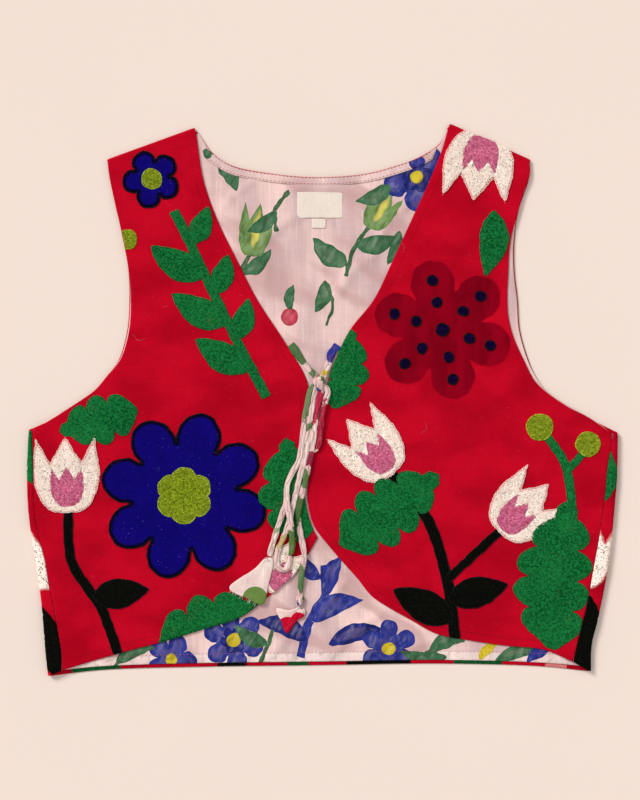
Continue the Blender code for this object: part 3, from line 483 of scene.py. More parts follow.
# Ties: the radius of a rolled strip of lining cloth, and its routes as rows of x, y, z
TIE_RADIUS = 2.25
ON_FRONT = FRONT_TOP + GAP + TIE_RADIUS
TIE_ON_LINING = ON_LINING + TIE_RADIUS
OVER = 2 * TIE_RADIUS + GAP
TIES = {
    "tie_left": [(-24.5, 46, TIE_ON_LINING), (-19, 38, TIE_ON_LINING), (-12.5, 30, TIE_ON_LINING + 1),
                 (-7.5, 24.8, ON_FRONT - 0.8)],
    "tie_right": [(8.8, 44, TIE_ON_LINING), (6.6, 36, TIE_ON_LINING + 0.5), (4, 29, TIE_ON_LINING + 1.4),
                  (2.2, 24.6, ON_FRONT - 0.8)],
    "tie_fold": [(-10.9, 9.6, ON_FRONT), (-13.2, -1, ON_FRONT), (-15.6, -13, ON_FRONT),
                 (-18.2, -36, ON_FRONT), (-21.8, -56, ON_FRONT), (-27.4, -66, ON_FRONT),
                 (-31.8, -76, ON_FRONT), (-33, -88, ON_FRONT + 0.2 * OVER),
                 (-31.6, -99, ON_FRONT + 0.85 * OVER), (-29.6, -109, ON_FRONT + 1.1 * OVER),
                 (-28.4, -119, ON_FRONT + 0.9 * OVER), (-27.8, -129, ON_FRONT + 0.3 * OVER),
                 (-27.8, -137, ON_FRONT)],
    "tie_loop": [(-5.9, 9.3, ON_FRONT), (-8.2, -1, ON_FRONT), (-10.6, -13, ON_FRONT),
                 (-13.1, -36, ON_FRONT), (-16.6, -56, ON_FRONT), (-21.6, -74, ON_FRONT),
                 (-25, -90, ON_FRONT), (-27.8, -101, ON_FRONT), (-31, -114, ON_FRONT),
                 (-36, -127, ON_FRONT), (-40.6, -138, ON_FRONT), (-42, -148, ON_FRONT),
                 (-39, -156, ON_FRONT), (-33.5, -156.5, ON_FRONT), (-30.3, -151, ON_FRONT),
                 (-29.6, -143.5, ON_FRONT)],
    "tie_end_right": [(-0.8, 9.5, ON_FRONT), (-3.2, -1, ON_FRONT), (-5.6, -13, ON_FRONT),
                      (-8, -36, ON_FRONT), (-11.4, -56, ON_FRONT), (-16, -75, ON_FRONT),
                      (-19.6, -92, ON_FRONT), (-22, -104, ON_FRONT), (-20.5, -120, ON_FRONT),
                      (-17.7, -134, ON_FRONT), (-16.4, -143, ON_FRONT + 0.6), (-18.2, -155, ON_FRONT),
                      (-19.6, -167, TIE_ON_LINING + 1.4), (-20, -178, TIE_ON_LINING)],
    "tie_tuck": [(5.4, 9, ON_FRONT), (2.8, -1, ON_FRONT), (0.4, -13, ON_FRONT), (-1.4, -27, ON_FRONT),
                 (-2.6, -39, ON_FRONT)],
    "tie_end_left": [(-37.2, -106, ON_FRONT), (-41.4, -118, ON_FRONT), (-45, -130, ON_FRONT),
                     (-47.6, -139, ON_FRONT), (-48.6, -144, ON_FRONT)],
}
KNOT_CENTRE = (-2.6, 16.6)
KNOT_SIZE = (11.4, 15.0, 6.2)
FLARE_LEFT = [(-52, -144.8), (-62, -155), (-86, -173.5), (-70, -183), (-55, -188.5), (-49.5, -170),
              (-45.6, -147)]
FLARE_RIGHT = [(-18.5, -190.6), (-22, -191.6), (-30, -194), (-42.5, -192.5), (-38, -204), (-32.5, -215.5),
               (-24, -204.5), (-17, -200), (-15.5, -195)]
END_KNOT_CENTRE = (-20.2, -184.8)
END_KNOT_SIZE = (8.4, 10.6, 4.6)
FLARE_LAYERS = 2.0

LABEL = (-2, 182, 42, 24)
SIZE_TAB = (-3, 165, 13, 8.6)


def run_of(points):
    """How far along a line of points each one lies."""
    return np.concatenate([[0], np.cumsum(np.linalg.norm(np.diff(points, axis=0), axis=1))])


def respaced(run, step, least=2):
    """A run of points at even steps along its own line."""
    along = run_of(run)
    wanted = np.linspace(0, along[-1], max(least, round(along[-1] / step)) + 1)
    return np.column_stack([np.interp(wanted, along, axis) for axis in run.T])


def unit(rows):
    """Each row as a direction of length 1."""
    return rows / np.maximum(np.linalg.norm(rows, axis=1), 1e-9)[:, None]


def right_of(along):
    """The directions to the right of some directions in plan."""
    return unit(np.column_stack([along[:, 1], -along[:, 0]]))


def round_ring(ring):
    """Which way a closed ring runs at each of its points."""
    return np.roll(ring, -1, axis=0) - np.roll(ring, 1, axis=0)


def eased(t):
    """A number from 0 to 1 that leaves 0 and reaches 1 slowly."""
    return t**2 * (3 - 2 * t)


def smooth_curve(points, step):
    """Evenly spaced points on a smooth curve through the given ones."""
    corners = np.array(points, float)
    first = 2 * corners[0] - corners[1]
    last = 2 * corners[-1] - corners[-2]
    padded = np.vstack([first, corners, last])
    t = np.linspace(0, 1, CURVE_PARTS, endpoint=False)[:, None]
    dense = []
    for i in range(1, len(padded) - 2):
        before, start, end, after = padded[i - 1:i + 3]
        coming, here, going = (np.linalg.norm(b - a) ** 0.5
                               for a, b in ((before, start), (start, end), (end, after)))
        leave = (start - before) / coming - (end - before) / (coming + here) + (end - start) / here
        arrive = (end - start) / here - (after - start) / (here + going) + (after - end) / going
        dense.append((2 * t**3 - 3 * t**2 + 1) * start + (t**3 - 2 * t**2 + t) * here * leave
                     + (3 * t**2 - 2 * t**3) * end + (t**3 - t**2) * here * arrive)
    return respaced(np.vstack(dense + [corners[-1:]]), step, least=1)


def joined(*runs):
    """One closed outline from runs that each start where the last one ended."""
    points = []
    for run in runs:
        for point in run:
            if not points or math.dist(points[-1], point) > 1.0:
                points.append(tuple(point))
    if math.dist(points[0], points[-1]) <= 1.0:
        points.pop()
    return points


def turned(points, x, y, turn):
    c = math.cos(math.radians(turn))
    s = math.sin(math.radians(turn))
    return [(x + c * u - s * v, y + s * u + c * v) for u, v in points]


def disc(x, y, radius, count):
    angles = [2 * math.pi * i / count for i in range(count)]
    return [(x + radius * math.cos(a), y + radius * math.sin(a)) for a in angles]


def rosette_outline(flower, count=16):
    """A flower of round petals, whose rim swings in to a notch between each pair."""
    rim = []
    for i in range(flower.petals * count):
        angle = 2 * math.pi * i / (flower.petals * count)
        lobe = abs(math.sin(flower.petals * angle / 2)) ** 0.6
        r = flower.radius * (1 - flower.notch * (1 - lobe))
        rim.append((r * math.cos(angle), r * math.sin(angle)))
    return turned(rim, flower.x, flower.y, flower.turn)


def leaf_outline(leaf, count=16):
    """A pointed leaf from its base, with its midrib bowed to one side."""
    lower = [(0.0, 0.0)]
    upper = []
    for i in range(1, count):
        t = i / count
        half = leaf.width / 2 * math.sin(math.pi * t**0.8) ** 0.85
        mid = leaf.bow * leaf.length * math.sin(math.pi * t)
        lower.append((t * leaf.length, mid - half))
        upper.append((t * leaf.length, mid + half))
    return turned(lower + [(leaf.length, 0.0)] + upper[::-1], leaf.x, leaf.y, leaf.turn)


def lobed_leaf_outline(leaf, count=10):
    """A leaf with round lobes down both sides, as an oak's, and one at its tip."""
    lower = []
    upper = []
    steps = leaf.lobes * count
    for i in range(steps + 1):
        t = i / steps
        envelope = 0.30 + 0.70 * math.sin(math.pi * (0.12 + 0.80 * t)) ** 0.9
        wave = 0.55 + 0.45 * abs(math.sin(math.pi * leaf.lobes * t)) ** 0.55
        half = leaf.width / 2 * envelope * wave * (1 if i else 0.25)
        mid = leaf.bow * leaf.length * math.sin(math.pi * t)
        along = leaf.length * (0.06 + 0.82 * t) if i else 0
        lower.append((along, mid - half))
        upper.append((along, mid + half))
    tip = [(0.95 * leaf.length, -0.12 * leaf.width), (leaf.length, 0),
           (0.95 * leaf.length, 0.12 * leaf.width)]
    return turned(lower + tip + upper[::-1], leaf.x, leaf.y, leaf.turn)


def tulip_outline(tulip, count=16):
    """A cup of three pointed petals from its base."""
    half = tulip.width / 2
    tall = tulip.height
    corners = [(0, 0), (0.6 * half, 0.06 * tall), (half, 0.42 * tall), (0.92 * half, tall)]
    side = [tuple(point) for point in smooth_curve(corners, tall / count)]
    notch = (0.48 * half, 0.66 * tall)
    left = [(-u, v) for u, v in side[:0:-1]]
    rim = side + [notch, (0, 1.02 * tall), (-notch[0], notch[1])] + left
    return turned(rim, tulip.x, tulip.y, tulip.turn - 90)


def stem_outline(stem):
    line = smooth_curve(stem.route, 4.0)
    aside = stem.width / 2 * right_of(np.gradient(line, axis=0))
    return [tuple(p) for p in line + aside] + [tuple(p) for p in (line - aside)[::-1]]


def disc_outline(spot):
    return disc(spot.x, spot.y, spot.radius, max(10, round(spot.radius * 3)))


OUTLINES = {Rosette: rosette_outline, Leaf: leaf_outline, LobedLeaf: lobed_leaf_outline, Tulip: tulip_outline,
            Stem: stem_outline, Disc: disc_outline}


def outline_of(shape):
    return OUTLINES[type(shape)](shape)


def resampled(outline, step):
    """A closed outline with its straight stretches divided, so that no edge is much longer than the step."""
    points = []
    for start, end in zip(outline, outline[1:] + outline[:1]):
        parts = max(1, round(math.dist(start, end) / step))
        points += [tuple(np.array(start) + (np.array(end) - start) * i / parts) for i in range(parts)]
    return points


def unevenness(plan, size, seed):
    """A smooth random height from -1 to 1 over the plan, with swells about as wide as size."""
    draw = np.random.RandomState(seed)
    total = np.zeros(len(plan))
    for _ in range(7):
        angle, phase, stretch = draw.uniform(0, (2 * math.pi, 2 * math.pi, 1))
        wave = np.array((math.cos(angle), math.sin(angle))) * 2 * math.pi / (size * (0.8 + stretch))
        total += np.sin(np.asarray(plan) @ wave + phase)
    return total / 3.5


def hand_cut(outline, seed, amount=0.45):
    """An outline with the small wander of a line stitched by hand."""
    ring = np.array(resampled(outline, WANDER_STEP))
    wander = unevenness(ring, WANDER_SIZE, seed) * amount
    return [tuple(p) for p in ring + right_of(round_ring(ring)) * wander[:, None]]


Patch = namedtuple("Patch", "finish outline raised")
FLAT_FINISHES = ("dark_red",)


def patches_of(panel):
    """The embroidered shapes of a panel, with their outlines, in the order that they cover each other."""
    rows = list(EMBROIDERY[panel])
    if panel == "right":
        flower = DOTTED_FLOWER
        rings = [turned(disc(0, 0, ring, 6), flower.x, flower.y, DOT_TURN) for ring in DOT_RINGS]
        dots = [flower] + [Disc(x, y, DOT_RADIUS) for ring in rings for x, y in ring]
        rows[1:1] = [Motif("navy", dot) for dot in dots]
    return [Patch(row.finish, hand_cut(outline_of(row.shape), seed), row.finish not in FLAT_FINISHES)
            for seed, row in enumerate(rows)]


def nearest_on(points, line, closed=False):
    """How far each point lies from a polyline, and how far along the line its nearest place is."""
    start = np.asarray(line, float)
    end = np.roll(start, -1, axis=0) if closed else start[1:]
    start = start if closed else start[:-1]
    edge = end - start
    length = np.linalg.norm(edge, axis=1)
    before = np.concatenate([[0], np.cumsum(length)[:-1]])
    away = []
    along = []
    for block in np.array_split(np.asarray(points, float), len(points) // 1500 + 1):
        t = np.clip(((block[:, None] - start) * edge).sum(axis=2) / length**2, 0, 1)
        apart = np.linalg.norm(block[:, None] - start - t[..., None] * edge, axis=2)
        best = apart.argmin(axis=1)
        rows = np.arange(len(block))
        away.append(apart[rows, best])
        along.append(before[best] + t[rows, best] * length[best])
    return np.concatenate(away), np.concatenate(along)


def distance_to(points, line, closed=False):
    return nearest_on(points, line, closed)[0]


def inside(points, outline):
    """Which points lie inside a closed outline."""
    x, y = np.asarray(points, float).T
    start = np.asarray(outline, float)
    result = np.zeros(len(x), bool)
    for (x1, y1), (x2, y2) in zip(start, np.roll(start, -1, axis=0)):
        crosses = (y1 > y) != (y2 > y)
        span = y2 - y1 if y2 != y1 else 1.0
        result ^= crosses & (x < x1 + (x2 - x1) * (y - y1) / span)
    return result


def rim_of(triangles):
    """The indices round the edge of some triangles, in order."""
    edges = {}
    for face in triangles:
        for a, b in zip(face, face[1:] + face[:1]):
            edges[a, b] = True
    follows = {a: b for a, b in edges if (b, a) not in edges}
    start = next(iter(follows))
    rim = [start]
    while follows[rim[-1]] != start:
        rim.append(follows[rim[-1]])
    return rim


def with_normals(surface, plan):
    """A surface's points over the plan, and its unit normals from small steps along x and y."""
    step = 0.02
    right = surface(plan + [step, 0]) - surface(plan - [step, 0])
    up = surface(plan + [0, step]) - surface(plan - [0, step])
    return surface(plan), unit(np.cross(right, up))


def depth_in(points, outline):
    """How far inside a closed outline each point lies, and 0 outside it."""
    depth = np.zeros(len(points))
    within = inside(points, outline)
    if within.any():
        depth[within] = distance_to(np.asarray(points)[within], outline, closed=True)
    return depth


def staggered(outline, spacing, clearance):
    """Points on a staggered grid inside an outline, clear of its edge."""
    low = np.min(outline, axis=0)
    high = np.max(outline, axis=0)
    rows = [(x + (spacing / 2 if row % 2 else 0), y)
            for row, y in enumerate(np.arange(low[1] + spacing / 2, high[1], spacing * 0.87))
            for x in np.arange(low[0], high[0], spacing)]
    rows = np.array(rows)
    return rows[depth_in(rows, outline) > clearance]


def drawn_in(outline, inset):
    """The runs of points that lie a given distance inside a closed outline, less those past its corners."""
    ring = np.array(outline)
    moved = ring - right_of(round_ring(ring)) * inset
    return runs_of(moved, depth_in(moved, outline) > 0.94 * inset)


def runs_of(points, kept):
    """The kept stretches of a closed ring, each in order. A whole ring ends where it starts."""
    if kept.all():
        return [np.vstack([points, points[:1]])]
    first = int(np.argmin(kept))
    order = np.roll(np.arange(len(points)), -first)
    runs = []
    run = []
    for i in order:
        if kept[i]:
            run.append(points[i])
        elif run:
            runs.append(run)
            run = []
    if run:
        runs.append(run)
    return [np.array(run) for run in runs if len(run) > 2]


def triangulate(outline, shapes=(), loose=(), merge=0.02):
    """Points, triangles and each triangle's topmost shape, counted from 1, inside an outline."""
    coords = [Vector(point) for point in outline]
    faces = [list(range(len(outline)))]
    for shape in shapes:
        faces.append(list(range(len(coords), len(coords) + len(shape))))
        coords += [Vector(point) for point in shape]
    coords += [Vector(point) for point in loose]
    points, _, triangles, sources, _, covers = delaunay_2d_cdt(coords, [], faces, 0, merge)
    kept = [(tuple(face), max(cover)) for face, cover in zip(triangles, covers) if 0 in cover]
    place = {old: new for new, olds in enumerate(sources) for old in olds}
    points = np.array([tuple(p) for p in points])
    return points, [face for face, _ in kept], np.array([top for _, top in kept]), place


def rounded(depth, radius):
    """The height, from 0 to 1, of a round shoulder at a depth inside an edge."""
    t = np.clip(depth / radius, 0, 1)
    return np.sqrt(1 - (1 - t) ** 2)


def stitched_height(plan, patches):
    """How far the embroidery stands proud of the cloth, with a valley where one motif meets another."""
    height = np.zeros(len(plan))
    for patch in patches:
        if not patch.raised:
            continue
        low = np.min(patch.outline, axis=0) - 2 * RELIEF_RAMP
        high = np.max(patch.outline, axis=0) + 2 * RELIEF_RAMP
        near = np.flatnonzero(((plan > low) & (plan < high)).all(axis=1))
        if not len(near):
            continue
        away = distance_to(plan[near], patch.outline, closed=True)
        within = inside(plan[near], patch.outline)
        under = height[near]
        shoulder = rounded(away, RELIEF_RAMP)
        covered = RELIEF * shoulder + VALLEY * under * (1 - shoulder)
        beside = under * (VALLEY + (1 - VALLEY) * rounded(away, RELIEF_RAMP))
        height[near] = np.where(within, covered, beside)
    moss = 0.16 * unevenness(plan, 5.0, 3) + 0.08 * unevenness(plan, 2.6, 4)
    return height + moss * np.clip(height / RELIEF, 0, 1)


def add_mesh(name, points, faces, materials, face_materials=None, corner_rows=None, corner_ink=None):
    """A smooth mesh object from millimetre points, moved so that the middle of the vest is the origin."""
    mesh = bpy.data.meshes.new(name)
    metres = (np.asarray(points, float) - [MIDDLE[0], MIDDLE[1], 0]) * MM
    mesh.from_pydata(metres.tolist(), [], faces)
    for material in materials:
        mesh.materials.append(material)
    if face_materials is not None:
        mesh.polygons.foreach_set("material_index", np.asarray(face_materials, np.int32))
    if corner_rows is not None:
        layer = mesh.uv_layers.new(name="rows")
        layer.data.foreach_set("uv", np.asarray(corner_rows, np.float32).ravel())
    if corner_ink is not None:
        ink = mesh.color_attributes.new("ink", "FLOAT_COLOR", "CORNER")
        ink.data.foreach_set("color", np.asarray(corner_ink, np.float32).ravel())
    mesh.shade_smooth()
    obj = bpy.data.objects.new(name, mesh)
    bpy.context.scene.collection.objects.link(obj)
    return obj


def corner_rows_of(plan, faces, tops, patches):
    """For each corner of each face, how far along its motif's edge it lies and how deep inside that edge."""
    rows = np.zeros((len(faces), 3, 2))
    corners = np.array(faces)
    for number, patch in enumerate(patches, 1):
        mine = tops == number
        if not mine.any():
            continue
        used, where = np.unique(corners[mine], return_inverse=True)
        depth, along = nearest_on(plan[used], patch.outline, closed=True)
        rows[mine] = np.column_stack([along, depth])[where.reshape(-1)].reshape(-1, 3, 2)
    return rows.reshape(-1, 2)


def dressed_points(outline, patches, plain, fine, clearance):
    """Loose points of a panel: fine in each motif that shows, plain between, rings along each edge."""
    found = []
    for inset in EDGE_RINGS:
        found += drawn_in(outline, inset)
    grid = staggered(outline, plain, clearance)
    for patch in patches:
        grid = grid[~inside(grid, patch.outline)]
    found.append(grid)
    for number, patch in enumerate(patches):
        dots = np.vstack([staggered(patch.outline, fine, 0.6 * fine)] + drawn_in(patch.outline, MOTIF_RING))
        for later in patches[number + 1:]:
            dots = dots[~inside(dots, later.outline)]
        if len(dots):
            found.append(dots[depth_in(dots, outline) > 0.6])
    return np.vstack([run for run in found if len(run)])


def thinned(plan, rim):
    """The share of its thickness that cloth keeps where its edge is rounded."""
    return EDGE_THIN + (1 - EDGE_THIN) * rounded(distance_to(plan, rim, closed=True), EDGE_ROUND)


def dressed_wall(name, outline, surface, thickness, patches, palette, outer=1, loose=(), inner_points=(),
                 relief=None, inner_finish=None, inks=None, rows_of=None):
    """A cloth wall with round edges about a middle surface: raised at its motifs outside, plain inside."""
    plan, top, tops, _ = triangulate(outline, [patch.outline for patch in patches], loose)
    rim = rim_of(top)
    inner_plan, bottom, _, place = triangulate(plan[rim], (), inner_points, merge=1e-4)
    height = stitched_height(plan, patches)
    if relief is not None:
        height = relief(plan, height)
    middle, normal = with_normals(surface, plan)
    outside = middle + outer * normal * (thinned(plan, plan[rim]) * (thickness / 2 + height))[:, None]
    middle, normal = with_normals(surface, inner_plan)
    within = middle - outer * normal * (thinned(inner_plan, plan[rim]) * thickness / 2)[:, None]
    first = len(outside)
    faces = list(top) + [tuple(first + i for i in face[::-1]) for face in bottom]
    sides = []
    for i, a in enumerate(rim):
        b = rim[(i + 1) % len(rim)]
        under_a = first + place[i]
        under_b = first + place[(i + 1) % len(rim)]
        sides += [(a, under_a, under_b), (a, under_b, b)]
    rows = np.zeros((3 * (len(faces) + len(sides)), 2))
    if rows_of:
        rows[:3 * len(top)] = rows_of(plan[np.array(top).ravel()])
    else:
        rows[:3 * len(top)] = corner_rows_of(plan, top, tops, patches)
    names = list(palette)
    finishes = [names.index(patch.finish) if patch.finish in names else 0 for patch in patches]
    kinds = np.zeros(len(faces) + len(sides), int)
    kinds[:len(top)] = np.array([0] + finishes)[tops]
    if inner_finish is not None:
        centres = np.array([inner_plan[list(face)].mean(axis=0) for face in bottom])
        kinds[len(top):len(faces)] = [names.index(kind) for kind in inner_finish(centres)]
        rows[3 * len(top):3 * len(faces)] = np.repeat(centres, 3, axis=0)
    faces += sides
    if outer < 0:
        rows = rows.reshape(-1, 3, 2)[:, ::-1].reshape(-1, 2)
        faces = [face[::-1] for face in faces]
    used, renumbered = np.unique(np.array(faces), return_inverse=True)
    faces = renumbered.reshape(-1, 3).tolist()
    ink = None
    if inks is not None:
        tints = np.array([(1, 1, 1, 0)] + [inks[patch.finish] for patch in patches], float)
        ink = np.zeros((len(faces), 3, 4))
        ink[:] = tints[0]
        ink[:len(top)] = tints[tops][:, None]
        ink = ink.reshape(-1, 4)
    points = np.vstack([outside, within])[used]
    return add_mesh(name, points, faces, list(palette.values()), kinds, rows, ink)


def tubes(name, lines, normals, radii, sides, material):
    """One mesh of threads: each line of points with a ring of its own radius round every point."""
    points = []
    faces = []
    rows = []
    around = np.arange(sides)
    cosines = np.cos(around * 2 * math.pi / sides)[None, :, None]
    sines = np.sin(around * 2 * math.pi / sides)[None, :, None]
    first = 0
    for line, up, radius in zip(lines, normals, radii):
        along = unit(np.gradient(line, axis=0))
        across = unit(np.cross(along, up))
        over = np.cross(across, along)
        ring = line[:, None] + radius[:, None, None] * (cosines * across[:, None] + sines * over[:, None])
        points.append(ring.reshape(-1, 3))
        count = len(line)
        run = run_of(line)
        base = first + np.arange(count - 1)[:, None] * sides + around
        turn = first + np.arange(count - 1)[:, None] * sides + (around + 1) % sides
        faces += np.stack([base, base + sides, turn + sides, turn], axis=2).reshape(-1, 4).tolist()
        here, there, low = np.broadcast_arrays(run[:-1, None], run[1:, None], around / sides)
        high = low + 1 / sides
        corners = ((here, low), (there, low), (there, high), (here, high))
        rows.append(np.stack([np.stack(corner, 2) for corner in corners], axis=2).reshape(-1, 2))
        faces.append([first + i for i in range(sides)])
        faces.append([first + (count - 1) * sides + i for i in range(sides)][::-1])
        rows.append(np.zeros((2 * sides, 2)))
        first += count * sides
    return add_mesh(name, np.vstack(points), faces, [material], None, np.vstack(rows))


class Value:
    """A socket of a material, on which arithmetic adds Math nodes."""

    def __init__(self, dye, socket):
        self.dye = dye
        self.socket = socket

    def __add__(self, other):
        return self.dye.maths("ADD", self, other)

    def __radd__(self, other):
        return self.dye.maths("ADD", other, self)

    def __sub__(self, other):
        return self.dye.maths("SUBTRACT", self, other)

    def __rsub__(self, other):
        return self.dye.maths("SUBTRACT", other, self)

    def __mul__(self, other):
        return self.dye.maths("MULTIPLY", self, other)

    def __rmul__(self, other):
        return self.dye.maths("MULTIPLY", other, self)

    def __truediv__(self, other):
        return self.dye.maths("DIVIDE", self, other)


class Dye:
    """One material: its nodes, and the coordinates in millimetres that its patterns follow."""

    def __init__(self, name, roughness=0.85, specular=0.03):
        self.material = bpy.data.materials.new(name)
        self.material.use_nodes = True
        self.nodes = self.material.node_tree.nodes
        self.links = self.material.node_tree.links
        self.shader = self.nodes["Principled BSDF"]
        self.shader.inputs["Roughness"].default_value = roughness
        self.shader.inputs["Specular IOR Level"].default_value = specular

    def node(self, kind, settings, values, output=0):
        """A node of a type, with its settings made first, then its sockets' values or links."""
        made = self.nodes.new(kind)
        for key, setting in settings.items():
            setattr(made, key, setting)
        for key, value in values.items():
            self.feed(made.inputs[key], value)
        return Value(self, made.outputs[output])

    def feed(self, socket, value):
        if isinstance(value, Value):
            self.links.new(value.socket, socket)
        elif isinstance(value, tuple) and len(value) == 3 and socket.type == "RGBA":
            socket.default_value = (*value, 1)
        else:
            socket.default_value = value

    def maths(self, operation, first, second=0.0):
        return self.node("ShaderNodeMath", {"operation": operation}, {0: first, 1: second})

    def place(self):
        """Object coordinates in millimetres."""
        here = self.node("ShaderNodeTexCoord", {}, {}, "Object")
        return self.node("ShaderNodeVectorMath", {"operation": "SCALE"}, {0: here, "Scale": 1 / MM})

    def rows(self):
        """How far along its motif's edge, and how deep inside it, a place lies."""
        both = self.node("ShaderNodeUVMap", {"uv_map": "rows"}, {})
        apart = self.nodes.new("ShaderNodeSeparateXYZ")
        self.links.new(both.socket, apart.inputs[0])
        return Value(self, apart.outputs[0]), Value(self, apart.outputs[1])

    def stretched(self, x, y, turn=0.0, vector=None):
        """A place's coordinates scaled along x and y and then turned, for patterns longer one way."""
        return self.node("ShaderNodeMapping", {}, {
            "Vector": vector or self.place(), "Scale": (x, y, 1.0),
            "Rotation": (0.0, 0.0, math.radians(turn))})

    def cloud(self, size, detail=2.0, vector=None):
        """Soft noise from 0 to 1, with swells of about size millimetres."""
        return self.node("ShaderNodeTexNoise", {}, {
            "Vector": vector or self.place(), "Scale": 1 / size, "Detail": detail, "Roughness": 0.5})

    def step(self, value, low, high):
        """0 below low, 1 above high, and smooth between."""
        return self.node("ShaderNodeMapRange", {"interpolation_type": "SMOOTHSTEP"}, {
            "Value": value, "From Min": low, "From Max": high, "To Min": 0.0, "To Max": 1.0})

    def mix(self, share, first, second):
        """The first colour turning into the second."""
        made = self.nodes.new("ShaderNodeMix")
        made.data_type = "RGBA"
        made.clamp_factor = True
        self.feed(made.inputs[0], share)
        self.feed(made.inputs[6], first)
        self.feed(made.inputs[7], second)
        return Value(self, made.outputs[2])

    def shade(self, colour, level):
        """A colour made lighter or darker by a number round 1."""
        grey = self.node("ShaderNodeCombineXYZ", {}, {0: level, 1: level, 2: level})
        return self.node("ShaderNodeVectorMath", {"operation": "MULTIPLY"}, {0: colour, 1: grey})

    def weave(self, thread):
        """Plain weave of a thread pitch in millimetres, as a height from 0 to 1."""
        wander = self.cloud(9.0, 1.0) * 0.8
        here = self.node("ShaderNodeSeparateXYZ", {}, {0: self.place()}, 0)
        apart = here.socket.node
        rate = 2 * math.pi / thread
        across = self.maths("SINE", (Value(self, apart.outputs[0]) + wander) * rate)
        down = self.maths("SINE", (Value(self, apart.outputs[1]) + wander) * rate)
        return across * down * 0.5 + 0.5

    def chain(self, row_width=CHAIN_ROW, link_length=CHAIN_LINK):
        """Chain stitch in rows along the motif's edge: a height from 0 to 1 over each link's two strands."""
        along, depth = self.rows()
        row = depth / row_width + self.cloud(6.0, 1.0) * 0.5
        number = self.maths("FLOOR", row)
        across = row - number - 0.5
        link = along / link_length + number * 0.37 + self.cloud(5.0, 1.0) * 0.8
        phase = self.maths("FRACT", link)
        spread = self.maths("SINE", phase * math.pi) * 0.27
        strand = self.maths("ABSOLUTE", self.maths("ABSOLUTE", across) - spread)
        return 1 - self.step(strand, 0.04, 0.24)

    def finish(self, colour, height=None, depth=0.4, strength=1.0):
        """Joins the colour, and a relief of a depth in millimetres, to the shader."""
        self.feed(self.shader.inputs["Base Color"], colour)
        if height is not None:
            relief = {"Strength": strength, "Distance": depth * MM, "Height": height}
            self.feed(self.shader.inputs["Normal"], self.node("ShaderNodeBump", {}, relief))
        return self.material


def seen(red, green, blue):
    """The colour of cloth that shows as these screen values from 0 to 255 under the studio's light."""
    def albedo(level):
        share = level / 255
        linear = share / 12.92 if share <= 0.04045 else ((share + 0.055) / 1.055) ** 2.4
        return min(linear / (EVEN_LIGHT + KEY_LIGHT), 0.95)
    return albedo(red), albedo(green), albedo(blue)


def red_cotton():
    dye = Dye("red_cotton", specular=0.02)
    slub = dye.cloud(1.6, 3.0, dye.stretched(0.12, 1.0))
    slub_down = dye.cloud(1.6, 3.0, dye.stretched(1.0, 0.12))
    # Painted shade: broad soft darker bands stand in for the shade of soft folds in the cotton.
    painted_fold_shade = dye.step(dye.cloud(36.0, 4.0, dye.stretched(0.6, 1.0, 24.0)), 0.32, 0.66)
    base = dye.mix(painted_fold_shade, seen(170, 3, 28), seen(196, 7, 35))
    grain = (slub + slub_down) * 0.2 + dye.weave(0.8) * 0.1 + 0.78
    lint = dye.step(dye.cloud(1.3, 0.0, dye.stretched(0.22, 1.0, 38.0)), 0.82, 0.86)
    speckled = dye.mix(lint * 0.09, dye.shade(base, grain), seen(226, 110, 116))
    return dye.finish(speckled, dye.weave(0.8) * 0.5 + slub * 0.3 + slub_down * 0.3, depth=0.16, strength=0.7)


def moss(dye, size, low, high):
    """Fine tufts from 0 to 1, with hard edges as loops of thread have."""
    return dye.step(dye.cloud(size, 2.0), low, high)


def green_stitching():
    dye = Dye("green_stitching", specular=0.03)
    depth = dye.rows()[1]
    tufts = moss(dye, 1.9, 0.36, 0.62)
    gaps = moss(dye, 1.5, 0.57, 0.66) * dye.step(dye.cloud(9.0, 2.0), 0.25, 0.6)
    base = dye.mix(tufts, seen(3, 78, 33), seen(25, 116, 56))
    base = dye.mix(dye.step(dye.cloud(24.0, 2.0), 0.35, 0.7) * 0.3, base, seen(30, 128, 62))
    border = dye.step(depth, 0.6, 1.3) * (1 - dye.step(depth, 1.6, 2.4))
    base = dye.mix(border * 0.3, base, seen(38, 132, 70))
    base = dye.mix((1 - dye.step(depth, 0.0, 0.7)) * 0.5, base, seen(8, 56, 28))
    base = dye.mix(gaps * 0.72, base, seen(1, 44, 24))
    bare = moss(dye, 1.6, 0.60, 0.68) * dye.step(dye.cloud(12.0, 1.0), 0.62, 0.70)
    base = dye.mix(bare * 0.7, base, seen(110, 40, 30))
    relief = tufts * 0.6 + dye.cloud(0.9, 2.0) * 0.6 - gaps * 0.5
    return dye.finish(dye.shade(base, dye.chain() * 0.12 + 0.95), relief, depth=0.5, strength=0.8)


def black_stitching():
    dye = Dye("black_stitching", specular=0.03)
    tufts = moss(dye, 1.6, 0.36, 0.64)
    base = dye.mix(moss(dye, 1.7, 0.60, 0.72) * 0.55, seen(9, 10, 6), seen(16, 42, 26))
    relief = tufts * 0.6 + dye.chain() * 0.5
    return dye.finish(dye.shade(base, tufts * 0.6 + dye.chain() * 0.4 + 0.5), relief, depth=0.5, strength=0.8)


